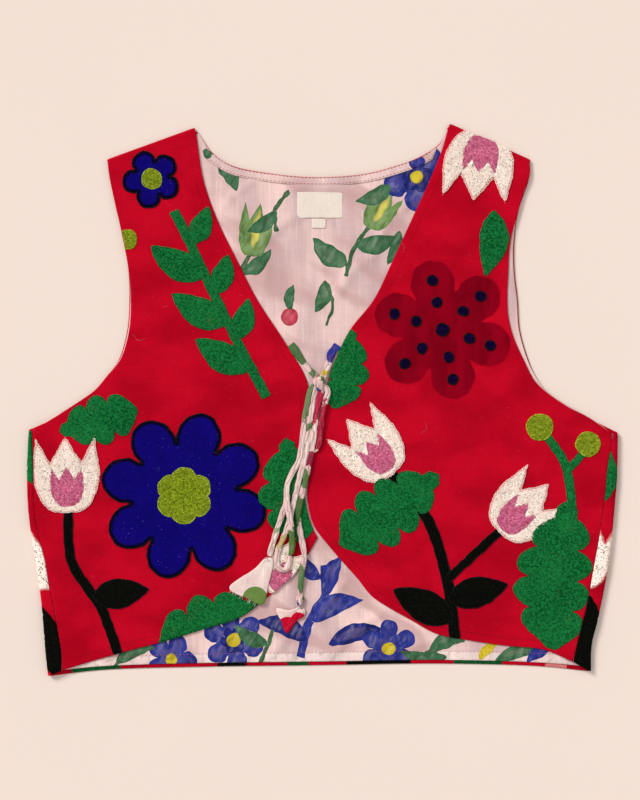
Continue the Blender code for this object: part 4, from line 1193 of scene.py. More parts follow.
def blue_stitching():
    dye = Dye("blue_stitching", specular=0.03)
    depth = dye.rows()[1]
    rim = 1 - dye.step(depth + dye.cloud(3.0, 2.0) * 2.2, 3.6, 4.6)
    pale = dye.step(dye.cloud(1.1, 0.0), 0.83, 0.86)
    red = dye.step(dye.cloud(1.3, 0.0, dye.stretched(1.0, 0.7, 20.0)), 0.80, 0.84)
    base = dye.mix(dye.cloud(22.0, 3.0), seen(9, 3, 92), seen(17, 6, 122))
    base = dye.mix(rim * 0.94, base, seen(4, 2, 20))
    base = dye.mix(pale * 0.4, base, seen(140, 140, 190))
    base = dye.mix(red * (rim * 0.6 + 0.2), base, seen(150, 26, 34))
    grain = dye.cloud(1.2, 2.0, dye.stretched(1.0, 0.4, 64.0))
    return dye.finish(dye.shade(base, grain * 0.6 + dye.chain(1.7, 2.6) * 0.14 + 0.64),
                      grain * 0.5 + dye.chain(1.7, 2.6) * 0.5, depth=0.32, strength=0.7)


def lime_stitching():
    dye = Dye("lime_stitching", specular=0.04)
    base = dye.mix(moss(dye, 1.8, 0.35, 0.65), seen(110, 130, 12), seen(158, 178, 42))
    base = dye.mix(moss(dye, 1.5, 0.58, 0.68) * 0.6, base, seen(66, 80, 8))
    return dye.finish(dye.shade(base, dye.chain(1.9, 2.6) * 0.3 + 0.86),
                      dye.chain(1.9, 2.6) + dye.cloud(0.9, 1.0) * 0.5, depth=0.45)


def white_stitching():
    """Between the loops of cream thread: more of it, with dark specks, and the red cloth at the rim."""
    dye = Dye("white_stitching", specular=0.05)
    depth = dye.rows()[1]
    clumps = dye.step(dye.cloud(9.0, 2.0), 0.22, 0.5)
    specks = moss(dye, 1.4, 0.555, 0.62) * clumps
    rim = 1 - dye.step(depth + dye.cloud(3.0, 1.0) * 1.6, 1.6, 3.4)
    base = dye.mix(moss(dye, 1.6, 0.35, 0.6), seen(262, 232, 216), seen(272, 256, 244))
    base = dye.mix(specks * 0.9, base, seen(92, 92, 72))
    base = dye.mix(rim * 0.8, base, seen(206, 60, 68))
    return dye.finish(base, dye.cloud(0.8, 1.0), depth=0.12)


def pink_stitching():
    dye = Dye("pink_stitching", specular=0.04)
    base = dye.mix(moss(dye, 1.5, 0.35, 0.65), seen(188, 70, 112), seen(230, 122, 156))
    base = dye.mix(moss(dye, 1.6, 0.58, 0.68) * 0.7, base, seen(250, 198, 206))
    return dye.finish(base, dye.chain(1.7, 2.4) * 0.6 + dye.cloud(0.7, 1.0) * 0.6, depth=0.2)


def navy_stitching():
    dye = Dye("navy_stitching", specular=0.03)
    base = dye.mix(moss(dye, 1.6, 0.35, 0.65), seen(9, 2, 30), seen(26, 8, 66))
    return dye.finish(base, dye.chain(1.5, 2.2) + dye.cloud(0.8, 1.0) * 0.6, depth=0.45)


def printed_red():
    """The red cotton's darker print: the same cloth, some shades down, as brushed on."""
    dye = Dye("printed_red", specular=0.02)
    depth = dye.rows()[1]
    soft = dye.step(depth + dye.cloud(4.0, 2.0) * 1.6, 0.9, 2.4)
    stroke = dye.cloud(14.0, 2.0, dye.stretched(1.0, 0.3, 50.0))
    base = dye.mix(dye.step(stroke, 0.35, 0.65), seen(122, 0, 20), seen(144, 1, 25))
    base = dye.mix(soft, seen(178, 5, 31), base)
    grain = dye.weave(0.8) * 0.12 + dye.cloud(1.4, 2.0) * 0.2 + 0.86
    return dye.finish(dye.shade(base, grain), dye.weave(0.8) * 0.6, depth=0.16, strength=0.7)


def thread(name, light, dark):
    """Twisted embroidery thread: its plies wind round it."""
    dye = Dye(name, roughness=0.75, specular=0.08)
    along, round_it = dye.rows()
    ply = dye.maths("SINE", (along / THREAD_TWIST + round_it * 2.0) * (2 * math.pi)) * 0.5 + 0.5
    base = dye.mix(dye.step(dye.cloud(2.4, 2.0), 0.35, 0.65), seen(*dark), seen(*light))
    # Painted shade and light: the tone is darker in the grooves between the plies and lighter on their crowns, along
    # with the plies' relief.
    return dye.finish(dye.shade(base, ply * 0.16 + 0.92), ply, depth=0.16, strength=0.7)


def slubbed(dye, light, dark):
    """Pale voile with slub threads down it and finer ones across, as a colour and a relief."""
    down = dye.cloud(1.9, 3.0, dye.stretched(1.0, 0.04))
    across = dye.cloud(1.6, 3.0, dye.stretched(0.06, 1.0))
    # The broad lighter and darker streaks are partly the voile's own uneven tone and partly painted shade of soft
    # crumples.
    wash = dye.cloud(38.0, 2.0, dye.stretched(1.0, 0.45))
    base = dye.mix(dye.step(wash, 0.34, 0.66), seen(*dark), seen(*light))
    base = dye.mix(dye.step(down, 0.60, 0.72) * 0.4, base, seen(226, 222, 208))
    level = down * 0.34 + across * 0.16 + 0.76
    return dye.shade(base, level), down * 0.6 + across * 0.4 + dye.weave(0.7) * 0.5


def ink_of(dye):
    """The print's colour at a place, and how much of it there is."""
    ink = dye.node("ShaderNodeVertexColor", {"layer_name": "ink"}, {}, "Color")
    return ink, Value(dye, ink.socket.node.outputs["Alpha"])


def printed_voile():
    """The lining: slub voile with sprigs brushed on in ink, pooled at their edges and thin in the middle."""
    dye = Dye("printed_voile", specular=0.04)
    cloth, relief = slubbed(dye, (246, 210, 204), (212, 180, 180))
    depth = dye.rows()[1]
    ink, amount = ink_of(dye)
    ragged = depth + dye.cloud(4.0, 3.0) * 1.4 - 0.5
    edge = dye.step(ragged, -0.1, 0.35)
    wash = dye.step(dye.cloud(8.0, 3.0, dye.stretched(1.0, 0.5, 24.0)), 0.3, 0.7)
    pooled = 1 - dye.step(ragged, 0.8, 2.0)
    thin = dye.step(depth, 2.6, 5.0) * wash
    swept = dye.node("ShaderNodeVectorMath", {"operation": "ADD"},
                     {0: dye.place(), 1: dye.cloud(22.0, 1.0) * 26.0})
    brushed = dye.cloud(4.6, 2.0, dye.stretched(1.0, 0.24, 0.0, dye.stretched(1.0, 1.0, 28.0, swept)))
    tone = dye.shade(ink, wash * 0.3 + 0.88 - pooled * 0.18)
    light = dye.step(brushed, 0.54, 0.68) * (1 - pooled)
    tone = dye.mix(light * 0.2, tone, dye.mix(0.5, ink, seen(236, 232, 216)))
    tone = dye.mix(dye.step(brushed, 0.47, 0.36) * 0.7, tone, dye.shade(ink, 0.5))
    # Painted shade: soft pink-grey diagonal bands stand in for the shade of soft folds in the lining.
    folds = dye.cloud(26.0, 1.5, dye.stretched(0.3, 1.0, 0.0, dye.stretched(1.0, 1.0, 33.0)))
    cloth = dye.mix(dye.step(folds, 0.48, 0.62) * 0.75, cloth, seen(206, 164, 162))
    printed = dye.mix(amount * edge * (1 - thin * 0.1), cloth, tone)
    return dye.finish(printed, relief, depth=0.14, strength=0.7)


def tie_voile(name, crease_depth_and_shade):
    """Strips of the lining's voile, drawn up into folds along them, with patches of the print's ink, and painted shade
    on one side of each fold and along its creases.
    """
    dye = Dye(name, specular=0.04)
    cloth, relief = slubbed(dye, (250, 231, 221), (238, 208, 203))
    along, round_it = dye.rows()
    over = dye.maths("SINE", round_it * (2 * math.pi))
    facet = dye.maths("SINE", (round_it + 0.25) * (2 * math.pi)) + dye.cloud(12.0, 2.0) * 3.4 - 1.7
    strip = dye.node("ShaderNodeCombineXYZ", {}, {0: along * 0.04, 1: over * 1.6 + along * 0.02, 2: 0.0})
    drawn = dye.node("ShaderNodeTexNoise", {}, {"Vector": strip, "Scale": 2.2, "Detail": 3.0})
    crease = dye.step(drawn, 0.54, 0.62)
    ink, amount = ink_of(dye)
    wash = dye.cloud(4.0, 3.0)
    share = dye.step(amount + dye.cloud(3.0, 2.0) * 1.4 - 0.7, 0.40, 0.62)
    # Painted shade: one side of each fold is tinted pink-grey and each fold line darkened, where shade falls on the
    # folded strip.
    shaded = dye.step(facet, 0.0, 0.3) * crease_depth_and_shade
    fold_line_shade_and_dent = (1 - dye.step(dye.maths("ABSOLUTE", facet), 0.05, 0.26)) * crease_depth_and_shade
    tone = dye.mix(shaded * 0.55, cloth, seen(230, 184, 178))
    tone = dye.mix(share, tone, dye.shade(ink, wash * 0.5 + 0.76))
    # Painted shade: darker along the drawn-up creases, which are also dented in the relief.
    tone = dye.mix(crease * (0.22 * crease_depth_and_shade), tone, seen(190, 130, 126))
    tone = dye.mix(fold_line_shade_and_dent * (0.5 - share * 0.3), tone, seen(158, 98, 96))
    return dye.finish(tone, relief * 0.3 - crease * (0.5 * crease_depth_and_shade) - fold_line_shade_and_dent, depth=0.4, strength=0.9)


def label_weave():
    """Bare cream label: a close woven tape with a fine rib."""
    dye = Dye("label_weave", roughness=0.7, specular=0.06)
    fine = dye.weave(0.45)
    rib = dye.cloud(1.1, 2.0, dye.stretched(1.0, 0.08))
    base = dye.mix(dye.cloud(12.0, 2.0), seen(243, 226, 212), seen(254, 240, 226))
    return dye.finish(dye.shade(base, rib * 0.14 + fine * 0.04 + 0.90), fine + rib, depth=0.14, strength=0.7)


def pale_floor():
    dye = Dye("pale_floor", roughness=0.95, specular=0.0)
    faint = dye.cloud(240.0, 2.0) * 0.02 + 0.99
    return dye.finish(dye.shade(seen(245, 227, 216), faint))


def make_camera():
    """Straight down on the vest, from as high as needed to see the photograph's frame at the cloth."""
    camera = bpy.data.cameras.new("camera")
    camera.sensor_width = SENSOR
    camera.lens = SENSOR * CAMERA_HEIGHT / (PHOTO_HEIGHT * MM_PER_PIXEL)
    camera.clip_start = 0.05
    camera.clip_end = 20.0
    obj = bpy.data.objects.new("camera", camera)
    x = (PHOTO_WIDTH / 2 - PHOTO_ORIGIN[0]) * MM_PER_PIXEL - MIDDLE[0]
    y = (PHOTO_ORIGIN[1] - PHOTO_HEIGHT / 2) * MM_PER_PIXEL - MIDDLE[1]
    obj.location = (x * MM, y * MM, CAMERA_HEIGHT * MM)
    bpy.context.scene.collection.objects.link(obj)
    bpy.context.scene.camera = obj


def make_light():
    """The studio's even light, and a broad soft key from the upper left."""
    world = bpy.data.worlds.new("studio")
    world.use_nodes = True
    world.node_tree.nodes["Background"].inputs["Color"].default_value = (1.0, 0.99, 0.98, 1.0)
    world.node_tree.nodes["Background"].inputs["Strength"].default_value = EVEN_LIGHT
    bpy.context.scene.world = world
    key = bpy.data.lights.new("key", "SUN")
    direction = Vector(KEY_FROM).normalized()
    key.energy = KEY_LIGHT * math.pi / direction.z
    key.angle = math.radians(KEY_SOFTNESS)
    key.color = (1.0, 0.985, 0.965)
    obj = bpy.data.objects.new("key", key)
    obj.rotation_euler = direction.to_track_quat("Z", "Y").to_euler()
    bpy.context.scene.collection.objects.link(obj)
    bpy.context.scene.view_settings.view_transform = "Standard"


def make_floor():
    bpy.ops.object.select_all(action="DESELECT")
    bpy.ops.mesh.primitive_plane_add(size=6.0, location=(0, 0, -0.0002))
    floor = bpy.context.object
    floor.name = "floor"
    bpy.ops.object.transform_apply(location=True)
    floor.data.materials.append(pale_floor())
    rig.stage(floor)


def in_frame(points):
    """Plan points in the frame's metres."""
    return [((x - MIDDLE[0]) * MM, (y - MIDDLE[1]) * MM, z * MM) for x, y, z in points]


# Ties
STRIP_HALF = 2.7
STRIP_WIDE = 4.1
STRIP_THICK = 0.56
STRIP_SETTLE = 1.0
STRIP_STEP = 1.2
STRIP_SIDES = 24
CREAM_INK = (243, 222, 214)
TIE_INK = {
    "tie_left": [(-0.4, 0.62, (70, 116, 66)), (0.66, 0.9, (92, 128, 84))],
    "tie_right": [(-0.4, 0.6, (44, 54, 142)), (0.64, 0.84, (206, 178, 56))],
    "tie_fold": [(-0.1, 0.26, (112, 140, 96)), (0.82, 1.1, (86, 124, 62))],
    "tie_loop": [(0.17, 0.22, (96, 124, 88)), (0.72, 0.82, (196, 176, 120))],
    "tie_end_right": [(0.0, 0.2, (186, 34, 70)), (0.31, 0.40, (148, 40, 66)), (0.40, 0.49, (88, 126, 70)),
                      (0.50, 0.67, (70, 112, 58)), (0.83, 0.99, (96, 132, 84))],
    "tie_tuck": [(0.1, 1.1, (172, 24, 58))],
    "tie_end_left": [(0.5, 0.62, (150, 168, 128))],
}
SEWN_IN = ("tie_left", "tie_right")
# Where the soft strips run on past their solids: into the seams, the knot and each other
STRIP_ROOTS = {
    "tie_left": [(-29.5, 52, 3.9)], "tie_right": [(14.5, 52, 3.9)],
    "tie_fold": [(-6.4, 15.5, ON_FRONT - 0.6)], "tie_loop": [(-4.2, 15.5, ON_FRONT - 0.4)],
    "tie_end_right": [(-1.6, 15.5, ON_FRONT - 0.4)], "tie_tuck": [(0.8, 15.5, ON_FRONT - 0.6)],
    "tie_end_left": [(-31.5, -86, ON_FRONT - 0.6), (-34.4, -97, ON_FRONT - 0.2)],
}
STRIP_TAILS = {
    "tie_left": [(-5.0, 19.5, ON_FRONT - 0.4)], "tie_right": [(-0.4, 19.5, ON_FRONT - 0.4)],
    "tie_fold": [(-29.4, -143, ON_FRONT - 0.4)],
    "tie_tuck": [(-5.4, -45.5, ON_FRONT - 0.4), (-9.6, -48.5, ON_FRONT - 0.8)],
    "tie_end_right": [(-20.2, -183, 4.4)],
}


def strip_ink(name, share):
    """The colour and amount of print at a share of a tie's length."""
    for start, end, ink in TIE_INK[name]:
        if start <= share <= end:
            reach = min(share - start, end - share) / (end - start) * 2
            return (*seen(*ink), min(1.0, reach * 1.9))
    return (*seen(*CREAM_INK), 0.0)


def make_strip(name, seed, material):
    """A soft strip of voile folded lengthwise: a flattened tube, creased on top and slowly turning over."""
    line = smooth_curve(STRIP_ROOTS.get(name, []) + TIES[name] + STRIP_TAILS.get(name, []), STRIP_STEP)
    line[:, 2] -= STRIP_SETTLE
    count = len(line)
    run = np.arange(count) * STRIP_STEP
    wave = unevenness(np.column_stack([run, np.zeros(count)]), 26.0, seed)
    fine = unevenness(np.column_stack([run, np.ones(count)]), 9.0, seed + 50)
    angles = np.arange(STRIP_SIDES) * 2 * math.pi / STRIP_SIDES
    along = np.gradient(line, axis=0)
    along /= np.linalg.norm(along, axis=1)[:, None]
    across = np.cross(along, [0, 0, 1])
    across /= np.linalg.norm(across, axis=1)[:, None]
    over = np.cross(across, along)
    lean = 0.34 * wave
    radius = np.ones((count, STRIP_SIDES)) * (1 + 0.12 * fine)[:, None] * STRIP_HALF
    for place, depth in ((0.0, 0.36), (0.95, 0.18), (-0.9, 0.24)):
        crease = math.pi / 2 + place + 0.55 * wave + 0.3 * fine
        off = np.angle(np.exp(1j * (angles[None] - crease[:, None])))
        radius *= 1 - depth * np.exp(-(off / 0.22) ** 2)
    taper = np.minimum(1, 0.62 + 0.38 * np.minimum(run, run[-1] - run) / 3)[:, None]
    opened = np.zeros(count)[:, None]
    if name == "tie_tuck":
        taper *= np.clip(0.3 + (run[-1] - run) / 16, 0, 1)[:, None]
    if name in SEWN_IN:
        opened = np.clip(1 - run / 22, 0, 1)[:, None]
        taper = np.maximum(taper, np.clip(opened * 3, 0, 1))
    u = radius * taper * (1 + 0.75 * opened) * np.sign(np.cos(angles)) * np.abs(np.cos(angles)) ** 0.7
    v = radius * taper * (STRIP_THICK - 0.28 * opened) * np.sin(angles)
    turned_u = u * np.cos(lean)[:, None] - v * np.sin(lean)[:, None]
    turned_v = u * np.sin(lean)[:, None] + v * np.cos(lean)[:, None]
    ring = line[:, None] + turned_u[..., None] * across[:, None] + turned_v[..., None] * over[:, None]
    faces = []
    rows = []
    ink = []
    for i in range(count - 1):
        for k in range(STRIP_SIDES):
            a = i * STRIP_SIDES + k
            b = i * STRIP_SIDES + (k + 1) % STRIP_SIDES
            faces.append((a, a + STRIP_SIDES, b + STRIP_SIDES, b))
            low = k / STRIP_SIDES
            high = (k + 1) / STRIP_SIDES
            slant = 2.6 / run[-1] * np.cos(angles[k] + run[i] / 14)
            here = strip_ink(name, i / (count - 1) + slant)
            there = strip_ink(name, (i + 1) / (count - 1) + slant)
            rows += [(run[i], low), (run[i + 1], low), (run[i + 1], high), (run[i], high)]
            ink += [here, there, there, here]
    for end, tone in ((0, strip_ink(name, 0)), (count - 1, strip_ink(name, 1))):
        cap = [end * STRIP_SIDES + k for k in range(STRIP_SIDES)]
        faces.append(cap if end == 0 else cap[::-1])
        rows += [(run[end], 0)] * STRIP_SIDES
        ink += [tone] * STRIP_SIDES
    obj = add_mesh(name + "_strip", ring.reshape(-1, 3), faces, [material], None, rows, ink)
    return obj, line


KNOT_INK = [(0.06, 0.2, (82, 122, 76)), (0.34, 0.46, (52, 62, 146)), (0.62, 0.7, (204, 178, 70))]


def make_tie_knot(name, centre, size, base, turn, material):
    """A drawn-up knot: one soft strand passed over and under itself, round a small core."""
    t = np.linspace(0, 2 * math.pi, 84, endpoint=False)
    thick = 0.19 * min(size[0], size[1])
    x = (np.sin(t) + 2 * np.sin(2 * t)) / 3
    y = (np.cos(t) - 2 * np.cos(2 * t)) / 3
    z = -np.sin(3 * t)
    c = math.cos(math.radians(turn))
    s = math.sin(math.radians(turn))
    reach_x = size[0] / 2 - thick
    reach_y = size[1] / 2 - thick
    line = np.column_stack([centre[0] + reach_x * (c * x - s * y), centre[1] + reach_y * (s * x + c * y),
                            base + size[2] / 2 + (size[2] / 2 - thick) * 0.8 * z])
    line = np.vstack([line, line[:1]])
    swell = thick * (1 + 0.16 * np.sin(5 * np.append(t, 0)) + 0.1 * np.cos(11 * np.append(t, 0)))
    core_z = np.linspace(-0.42, 0.42, 9)
    core = np.column_stack([np.full(9, centre[0]), centre[1] + core_z * size[1] * 0.8,
                            np.full(9, base + size[2] / 2)])
    core_radius = size[0] * 0.30 * np.sqrt(np.maximum(1 - (core_z / 0.46) ** 2, 0.08))
    up = np.array([0, 0, 1.0])
    ups = [np.tile(up, (len(run), 1)) for run in (line, core)]
    obj = tubes(name, [line, core], ups, [swell, core_radius], 10, material)
    ink = obj.data.color_attributes.new("ink", "FLOAT_COLOR", "CORNER")
    tint = np.tile((*seen(*CREAM_INK), 0.0), (len(obj.data.loops), 1))
    for first, last, tone in KNOT_INK:
        tint[int(first * len(tint)):int(last * len(tint))] = (*seen(*tone), 0.8)
    ink.data.foreach_set("color", tint.astype(np.float32).ravel())
    return obj


FLARE_PRINT = {
    "tie_flare_left": [Print("leaf", Disc(-62, -184, 12))],
    "tie_flare_right": [Print("poppy", Disc(-32, -210, 10)), Print("poppy", Disc(-22, -203, 7))],
}
FLARE_INKS = {"leaf": (104, 134, 66), "poppy": (196, 4, 44)}


def make_flare(name, outline, base, palette):
    """The opened end of a tie: two layers of voile lying together, gathered where the strip begins."""
    root = np.array(outline[0])

    def surface(plan):
        from_root = np.linalg.norm(plan - root, axis=1)
        bearing = np.arctan2(plan[:, 1] - root[1], plan[:, 0] - root[0])
        pleats = 0.7 * np.sin(bearing * 11) * np.clip(1 - from_root / 30, 0, 1) * np.clip(from_root / 6, 0, 1)
        wave = 0.3 * unevenness(plan, 22.0, 31)
        return np.column_stack([plan, base + 1.7 + pleats + wave * np.clip(from_root / 12, 0, 1)])

    def fanned(plan):
        """How far from the root a place lies, and its bearing, so that the gathers run out of the root."""
        away = plan - root
        return np.column_stack([np.linalg.norm(away, axis=1), np.arctan2(away[:, 1], away[:, 0]) * 0.8])

    edge = [tuple(p) for p in smooth_curve(outline + outline[:1], 1.6)[:-1]]
    edge = hand_cut(edge, 23, 0.2)
    prints = [Patch(row.ink, resampled(outline_of(row.shape), 1.6), False) for row in FLARE_PRINT[name]]
    inks = {ink: (*seen(*tone), 1.0) for ink, tone in FLARE_INKS.items()}
    loose = dressed_points(edge, prints, *FLARE_GRID)
    return dressed_wall(name + "_cloth", edge, surface, FLARE_LAYERS, prints, palette, loose=loose,
                        inner_points=staggered(edge, 3.0, 2.0), inks=inks, rows_of=fanned)


def make_frayed_threads(material):
    """Loose warp threads at the cut edge of the left tie's end."""
    draw = np.random.RandomState(7)
    start = np.array((-86.0, -173.5))
    end = np.array((-60.0, -186.0))
    outward = np.array((-0.45, -0.89))
    lines = []
    for _ in range(34):
        foot = start + (end - start) * draw.uniform(0, 1) - outward * 1.5
        reach = draw.uniform(2.5, 7.5)
        bend = draw.uniform(-1.6, 1.6)
        t = np.linspace(0, 1, 6)[:, None]
        side = np.array((-outward[1], outward[0]))
        plan = foot + outward * reach * t + side * bend * t**2
        lines.append(np.column_stack([plan, FRONT_TOP + GAP + 1.3 - 1.6 * t[:, 0] ** 2]))
    ups = [np.tile((0, 0, 1.0), (6, 1)) for _ in lines]
    return tubes("frayed_threads", lines, ups, [np.full(6, 0.16) for _ in lines], 4, material)


# Cloth surfaces with their creases
def crease_height(rows, plan):
    """How far soft folds and creases lift the cloth."""
    lift = np.zeros(len(plan))
    for fold in rows:
        start = np.array((fold.x1, fold.y1))
        edge = np.array((fold.x2, fold.y2)) - start
        t = ((plan - start) @ edge) / (edge @ edge)
        bow = 0.06 * np.linalg.norm(edge) * np.sin(math.pi * np.clip(t, 0, 1))
        off = np.abs((plan - start) @ np.array((-edge[1], edge[0])) / np.linalg.norm(edge) - bow)
        ends = np.clip(np.minimum(t, 1 - t) * 3 + 0.5, 0, 1)
        lift += fold.height * np.exp(-(off / fold.width) ** 2) * eased(ends)
    return lift


def lining_open():
    """The two stretches of lining that show: the neck, and below the fronts' hems."""
    neck = NECK_EDGE["left"] + BACK_NECK[1:-1] + NECK_EDGE["right"][::-1]
    hem = [(x, y) for x, y in FRONT_HEM["left"]][::-1] + BACK_HEM + FRONT_HEM["right"]
    return [neck, hem]


def lining_surface(plan):
    """The lining's middle: flat on the back, and puckered a little where the fronts leave it open."""
    free = np.zeros(len(plan))
    for opening in lining_open():
        free = np.maximum(free, np.clip(depth_in(plan, opening) / 12, 0, 1))
    lift = crease_height(LINING_PUCKERS, plan) + 0.25 * (1 + unevenness(plan, 34.0, 9))
    return np.column_stack([plan, LINING_MID + lift * eased(free)])


def side_x(side, y):
    line = smooth_curve(SIDE[side], 4.0)[::-1]
    return np.interp(y, line[:, 1], line[:, 0])


def fold_start(side, y):
    """Where the flat back starts to turn up at a side."""
    return side_x(side, y) - SIGN[side] * (SIDE_FOLD + COTTON / 2)


def strip_u(side, x, y):
    """A place on the back's turned-over strip, measured along the cloth before it was turned."""
    return 2 * fold_start(side, y) - x + SIGN[side] * STRIP_TURN


def back_surface(plan):
    """The middle of the back's cloth: flat, then round each side and in over itself."""
    u, v = plan.T
    x = u.copy()
    z = np.full(len(u), BACK_MID)
    for side, sign in SIGN.items():
        start = fold_start(side, v)
        past = sign * (u - start)
        turn = np.clip(past / SIDE_FOLD, 0, math.pi)
        strip = np.maximum(past - STRIP_TURN, 0)
        folded = past > 0
        x = np.where(folded, start + sign * (SIDE_FOLD * np.sin(turn) - strip), x)
        z = np.where(folded, BACK_MID + SIDE_FOLD * (1 - np.cos(turn)), z)
    return np.column_stack([x, v, z])


def round_turn(side, first_y, last_y):
    """An edge that follows the cloth round a side fold, from the flat back to the strip above it."""
    rows = zip(TURN_PARTS, np.linspace(first_y, last_y, len(TURN_PARTS)))
    return [(fold_start(side, y) + SIGN[side] * STRIP_TURN * part, y) for part, y in rows]


def strip_edge(side):
    """The edge of the turned-over strip, from the armhole down the side seam and back along the hem."""
    top_y = ARMHOLE[side][-1][1]
    corner_y = SIDE_CORNER[side][1]
    seam = [(strip_u(side, x + SIGN[side] * GAP / 2, y), y) for x, y in smooth_curve(SEAM[side], EDGE_STEP)]
    return round_turn(side, top_y, top_y - 2.5) + seam + round_turn(side, corner_y, corner_y + 0.6)[::-1]


def shoulder_line(side, inset):
    """A shoulder line moved in from the outline, from the armhole end to the neck end."""
    start, end = (np.array(p) for p in SHOULDER[side])
    along = (end - start) / np.linalg.norm(end - start)
    outward = np.array([-along[1], along[0]]) * (1 if side == "left" else -1)
    return start - outward * inset, end - outward * inset, outward


def back_outline(inset_shoulder):
    left_outer, left_neck, _ = shoulder_line("left", inset_shoulder)
    right_outer, right_neck, _ = shoulder_line("right", inset_shoulder)
    down_left = smooth_curve([tuple(left_outer)] + ARMHOLE["left"], EDGE_STEP)
    up_right = smooth_curve([tuple(right_outer)] + ARMHOLE["right"], EDGE_STEP)[::-1]
    hem = smooth_curve([strip_edge("left")[-1]] + BACK_HEM + [strip_edge("right")[-1]], 5.0)
    neck_ends = tuple(right_neck - [1.2, 1.5]), tuple(left_neck + [1.2, -1.5])
    neck = smooth_curve([neck_ends[0]] + BACK_NECK[::-1][1:-1] + [neck_ends[1]], EDGE_STEP)
    return joined(down_left, strip_edge("left"), hem, strip_edge("right")[::-1], up_right, neck)


def lining_outline():
    """The back's own outline, drawn in: a little at the armholes and neck, and more at the hem."""
    left_outer, left_neck, _ = shoulder_line("left", LINING_SHOULDER_INSET)
    right_outer, right_neck, _ = shoulder_line("right", LINING_SHOULDER_INSET)
    left = [(x + 1.0, y + 1.2) if y < 30 else (x + 1.0, y) for x, y in ARMHOLE["left"]]
    right = [(x - 1.0, y + 1.2) if y < 30 else (x - 1.0, y) for x, y in ARMHOLE["right"]]
    left[-1] = (-267.5, -28)
    right[-1] = (270.5, -31)
    sides = {}
    for side, sign in SIGN.items():
        bottom = SIDE_CORNER[side][1] + LINING_HEM_INSET + 1
        rows = np.arange(bottom, left[-1][1] if side == "left" else right[-1][1], 18.0)
        sides[side] = [(fold_start(side, y) - sign * 0.6, y) for y in rows]
    hem = [(x, y + LINING_HEM_INSET) for x, y in BACK_HEM]
    neck = [tuple(right_neck - [2.4, 2.2])] + [(x, y - 1.0) for x, y in BACK_NECK[-2:0:-1]]
    neck.append(tuple(left_neck + [2.4, -2.2]))
    return joined(
        smooth_curve([tuple(left_outer + [1, 0])] + left, EDGE_STEP),
        sides["left"][::-1],
        smooth_curve([sides["left"][0]] + hem + [sides["right"][0]], EDGE_STEP),
        sides["right"],
        smooth_curve([tuple(right_outer - [1, 0])] + right, EDGE_STEP)[::-1],
        smooth_curve(neck, EDGE_STEP),
    )


def front_surface(side):
    """The middle of a front's cloth: on the lining, up to the side seam, and down over the shoulder."""
    seam = smooth_curve(SEAM[side], 12.0)
    fold_at, _, outward = shoulder_line(side, SHOULDER_REACH)

    def surface(plan):
        near = np.clip(1 - distance_to(plan, seam) / SEAM_RISE_WIDTH, 0, 1)
        past = (plan - fold_at) @ outward
        level = np.clip(-past / 20, 0, 1)
        creases = crease_height(FRONT_FOLDS[side], plan) + 0.12 * (1 + unevenness(plan, 28.0, 5))
        free = creases * level * (1 - near)
        z = FRONT_MID + SEAM_RISE * eased(near) + free
        turn = np.clip(past / SHOULDER_FOLD, 0, math.pi / 2)
        drop = np.maximum(past - math.pi / 2 * SHOULDER_FOLD, 0)
        back_up = np.where(past > 0, SHOULDER_FOLD * np.sin(turn) - past, 0)
        z = z - np.where(past > 0, SHOULDER_FOLD * (1 - np.cos(turn)) + drop, 0)
        return np.column_stack([plan + back_up[:, None] * outward, z])

    return surface


def front_outline(side):
    sign = SIGN[side]
    outer, neck, _ = shoulder_line(side, SHOULDER_REACH - SHOULDER_TURN)
    fold_at, fold_end, outward = shoulder_line(side, SHOULDER_REACH)
    armhole_end = [fold_at + outward * past for past in SHOULDER_STEPS[:0:-1]]
    neck_end = [fold_end + outward * past for past in SHOULDER_STEPS[1:]]
    armhole = armhole_end + list(smooth_curve([tuple(fold_at)] + FRONT_ARMHOLE[side], EDGE_STEP))
    seam = [(x - sign * GAP / 2, y) for x, y in smooth_curve(SEAM[side], EDGE_STEP)][1:]
    hem = smooth_curve([seam[-1]] + FRONT_HEM[side], EDGE_STEP)
    opening = [FRONT_HEM[side][-1]] + CENTRE_FRONT[side] + NECK_EDGE[side] + [tuple(fold_end)]
    opening = smooth_curve(opening, EDGE_STEP)
    shoulder = smooth_curve([tuple(neck), tuple(outer)], EDGE_STEP)
    outline = joined(armhole, seam, hem, opening, neck_end, shoulder)
    return outline if side == "left" else outline[::-1]


# Stitching laid on the cloth
EDGING_RADIUS = 0.72
EDGING_LIFT = 0.30
EDGING_SIDES = 5
EDGING_THREAD = {"green": "green", "black": "black", "blue": "black", "lime": "lime", "navy": "black"}
LINKED_FINISHES = {"white": "white", "pink": "pink", "lime": "lime"}
RIM_ROW = 0.7


def showing(points, outline, patches, number, margin=0.5):
    """Which points of a motif lie on the panel and under no later motif."""
    seen_there = depth_in(points, outline) > margin
    for later in patches[number + 1:]:
        if later.raised:
            seen_there &= ~inside(points, later.outline)
    return seen_there


def lay_threads(name, runs, surface, patches, material):
    """Threads couched along runs of plan points, swelling and pinching once a stitch."""
    lines = []
    ups = []
    radii = []
    for run in runs:
        places = respaced(run, CHAIN_LINK / 3)
        if len(places) < 3:
            continue
        middle, normal = with_normals(surface, places)
        height = COTTON / 2 + stitched_height(places, patches) + EDGING_LIFT
        lines.append(middle + normal * height[:, None])
        ups.append(normal)
        swell = np.abs(np.sin(np.arange(len(places)) * math.pi / 3))
        radii.append(EDGING_RADIUS * (0.74 + 0.3 * swell) * (1 + 0.12 * unevenness(places, 7.0, 13)))
    return tubes(name, lines, ups, radii, EDGING_SIDES, material)


def edging_runs(outline, patches, finish):
    runs = []
    for number, patch in enumerate(patches):
        if patch.finish == finish:
            ring = np.array(patch.outline)
            runs += runs_of(ring, showing(ring, outline, patches, number))
    return runs


